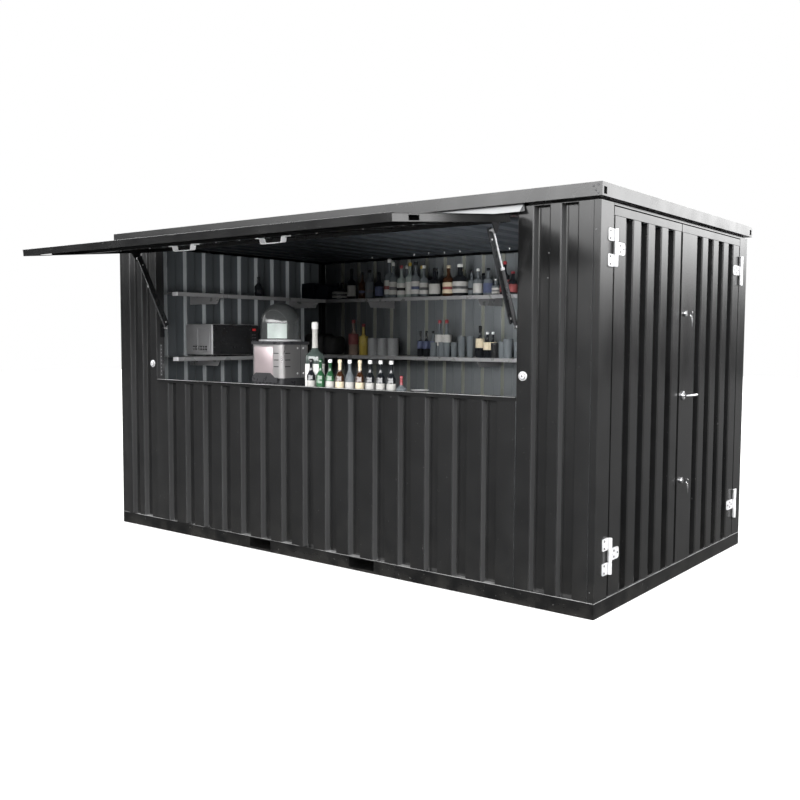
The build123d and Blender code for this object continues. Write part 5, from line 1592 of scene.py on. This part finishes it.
panel = blockShell(
    (tapLeft + tap["panelInset"][0], tapFace - 0.003, tapCase + 0.020),
    (tapRight - tap["panelInset"][1], tapFace + 0.002, tapBand - 0.016), 0.0024, 2,
)
rivetLevels = (tapCase + 0.030, tapBand - 0.026)
rivetPlaces = [(tapRight, tapFace + y, z) for y in tap["rivetPlaces"] for z in rivetLevels]
cabinPieces([
    ("tap_case", [tapWall(0.0, tapCase, tapBand, tap["corner"])], "applianceSteel", "dispenser_body"),
    ("tap_panel", [panel], "panelSteel"),
    ("tap_rivets", [spread(boltShell(*tap["rivet"]), rivetPlaces)], "hingeZinc"),
])
ventSlots = (
    # low x and y, high x and y, and height, for the front and both sides
    ((tapRight - 0.078, tapFace - 0.0012), (tapRight - 0.032, tapFace + 0.002), 0.006),
    ((tapRight - 0.002, tapFace + 0.030), (tapRight + 0.0012, tapFace + 0.080), 0.006),
    ((tapLeft - 0.0012, tapFace + 0.030), (tapLeft + 0.002, tapFace + 0.070), 0.010),
)
vents = [
    blockShell((*low, tapCase + level), (*high, tapCase + level + height), tap["ventRound"], 1)
    for level in tap["ventLevels"] for low, high, height in ventSlots
]
seam = blockShell(
    (tapRight - 0.002, tapFace + tap["seam"][0], tapCase + 0.004),
    (tapRight + 0.0008, tapFace + tap["seam"][1], tapBand - 0.002), 0.0006, 1,
)
apronMiddle = (tapLeft + tapRight) / 2 - 0.010
apronTurns = (
    (tapLeft + 0.012, -0.030), (tapLeft + 0.012, 0.004), (tapLeft + 0.050, 0.034),
    (apronMiddle + 0.055, 0.034), (apronMiddle + 0.090, 0.004), (tapRight - 0.040, 0.004),
    (tapRight - 0.040, -0.030),
)
apron = plateShell(apronTurns, tapFace - 0.0045, tapFace + 0.002, xAxis, zAxis, yAxis, (0, 0, tapCase))
ribStarts = tapLeft + tap["ribFirst"] + tap["ribStep"] * np.arange(5)
footRibs = [
    blockShell(
        (x, tapFace - 0.001, tapFoot + 0.012), (x + tap["ribWidth"], tapFace + 0.014, tapCase - 0.030),
        0.003, 1,
    )
    for x in ribStarts
]
foot = tapWall(tap["footInset"], tapFoot + 0.004, tapCase + 0.001, tap["footCorner"])
band = tapWall(-tap["bandOut"], tapBand - 0.001, bodyHigh[2] - 0.001, tap["corner"])
plasticShells = [foot, apron, *footRibs, band, *vents, seam]
cabinPieces([("tap_plastic", plasticShells, "bandPlastic")])

# Its dome: a light ring, an upright part and a crown as a quarter ellipse, a pale curved pane, and a knob
(domeLow, domeHigh) = boxOf("dispenser_dome")
dome = {
    "ring": ((0.128, 0), (0.146, 0), (0.149, 0.003), (0.149, 0.010), (0.146, 0.0125), (0.128, 0.0125)),
    "foot": 0.012,
    "upright": 0.110,
    "radius": 0.136,
    "knob": ((0.012, 0), (0.012, 0.004), (0.006, 0.0058)),
    "knobSpace": 0.006,
    "pane": (0.1368, 0.1378),            # inner and outer radius
    "paneTurns": (-84, -26),             # degrees
    "paneLevels": (0.020, 0.121),
}
domeBase = np.array((*(domeLow + domeHigh)[:2] / 2, domeLow[2]))
domeFoot = domeBase + zAxis * dome["foot"]
crown = domeHigh[2] - domeFoot[2] - dome["upright"] - dome["knobSpace"]
rise = np.linspace(0, np.pi / 2, 15)[:-1]
domeProfile = [
    (dome["radius"], 0), *zip(dome["radius"] * np.cos(rise), dome["upright"] + crown * np.sin(rise)),
    (0.004, dome["upright"] + crown),
]
paneTurns = np.radians(np.linspace(*dome["paneTurns"], 12))
paneLoop = np.concatenate([
    radius * np.stack((np.cos(turns), np.sin(turns), 0 * turns), -1)
    for radius, turns in zip(dome["pane"], (paneTurns, paneTurns[::-1]))
])
pane = gridShell([domeBase + paneLoop + zAxis * level for level in np.linspace(*dome["paneLevels"], 6)])
knobPlace = domeFoot + zAxis * (dome["upright"] + crown - 0.001)
cabinPieces([
    ("tap_ring", [collarShell(dome["ring"], domeBase, 40, xAxis, yAxis, zAxis)], "ringPlastic"),
    ("tap_dome", [turnShell(domeProfile, domeFoot, 40)], "smokedDome", "dispenser_dome"),
    ("tap_pane", [pane], "panePale"),
    ("tap_knob", [turnShell(dome["knob"], knobPlace, 12)], "bandPlastic"),
])
print("contents ready")

# Which pieces the two soft inner lamps light
contentNames = (
    "counter_soft", "counter_brackets_soft", "oven_case", "oven_trim", "oven_door", "oven_lamp", "oven_buttons",
    "tap_case", "tap_panel", "tap_rivets", "tap_plastic", "tap_ring", "tap_dome", "tap_pane", "tap_knob",
    "floor_board_soft", "shelf_brackets_soft",
)
lit = {
    "wallLamp": (
        "back_wall_folded", "roof_sheet_folded", "back_shelves_soft", "upper_shelf_bottles", "upper_shelf_boxes",
        "lower_shelf_glass", "cup_stacks", "lower_shelf_bags", "panel_screws", *contentNames,
    ),
    "shelfLamp": (
        "left_wall_folded", "left_shelves_soft", "shelf_corners", "left_shelf_bottle", "counter_row",
        "flap_straps", *contentNames,
    ),
}
for lampName, pieceNames in lit.items():
    for pieceName in pieceNames:
        receivers[lampName].objects.link(bpy.data.objects[pieceName])
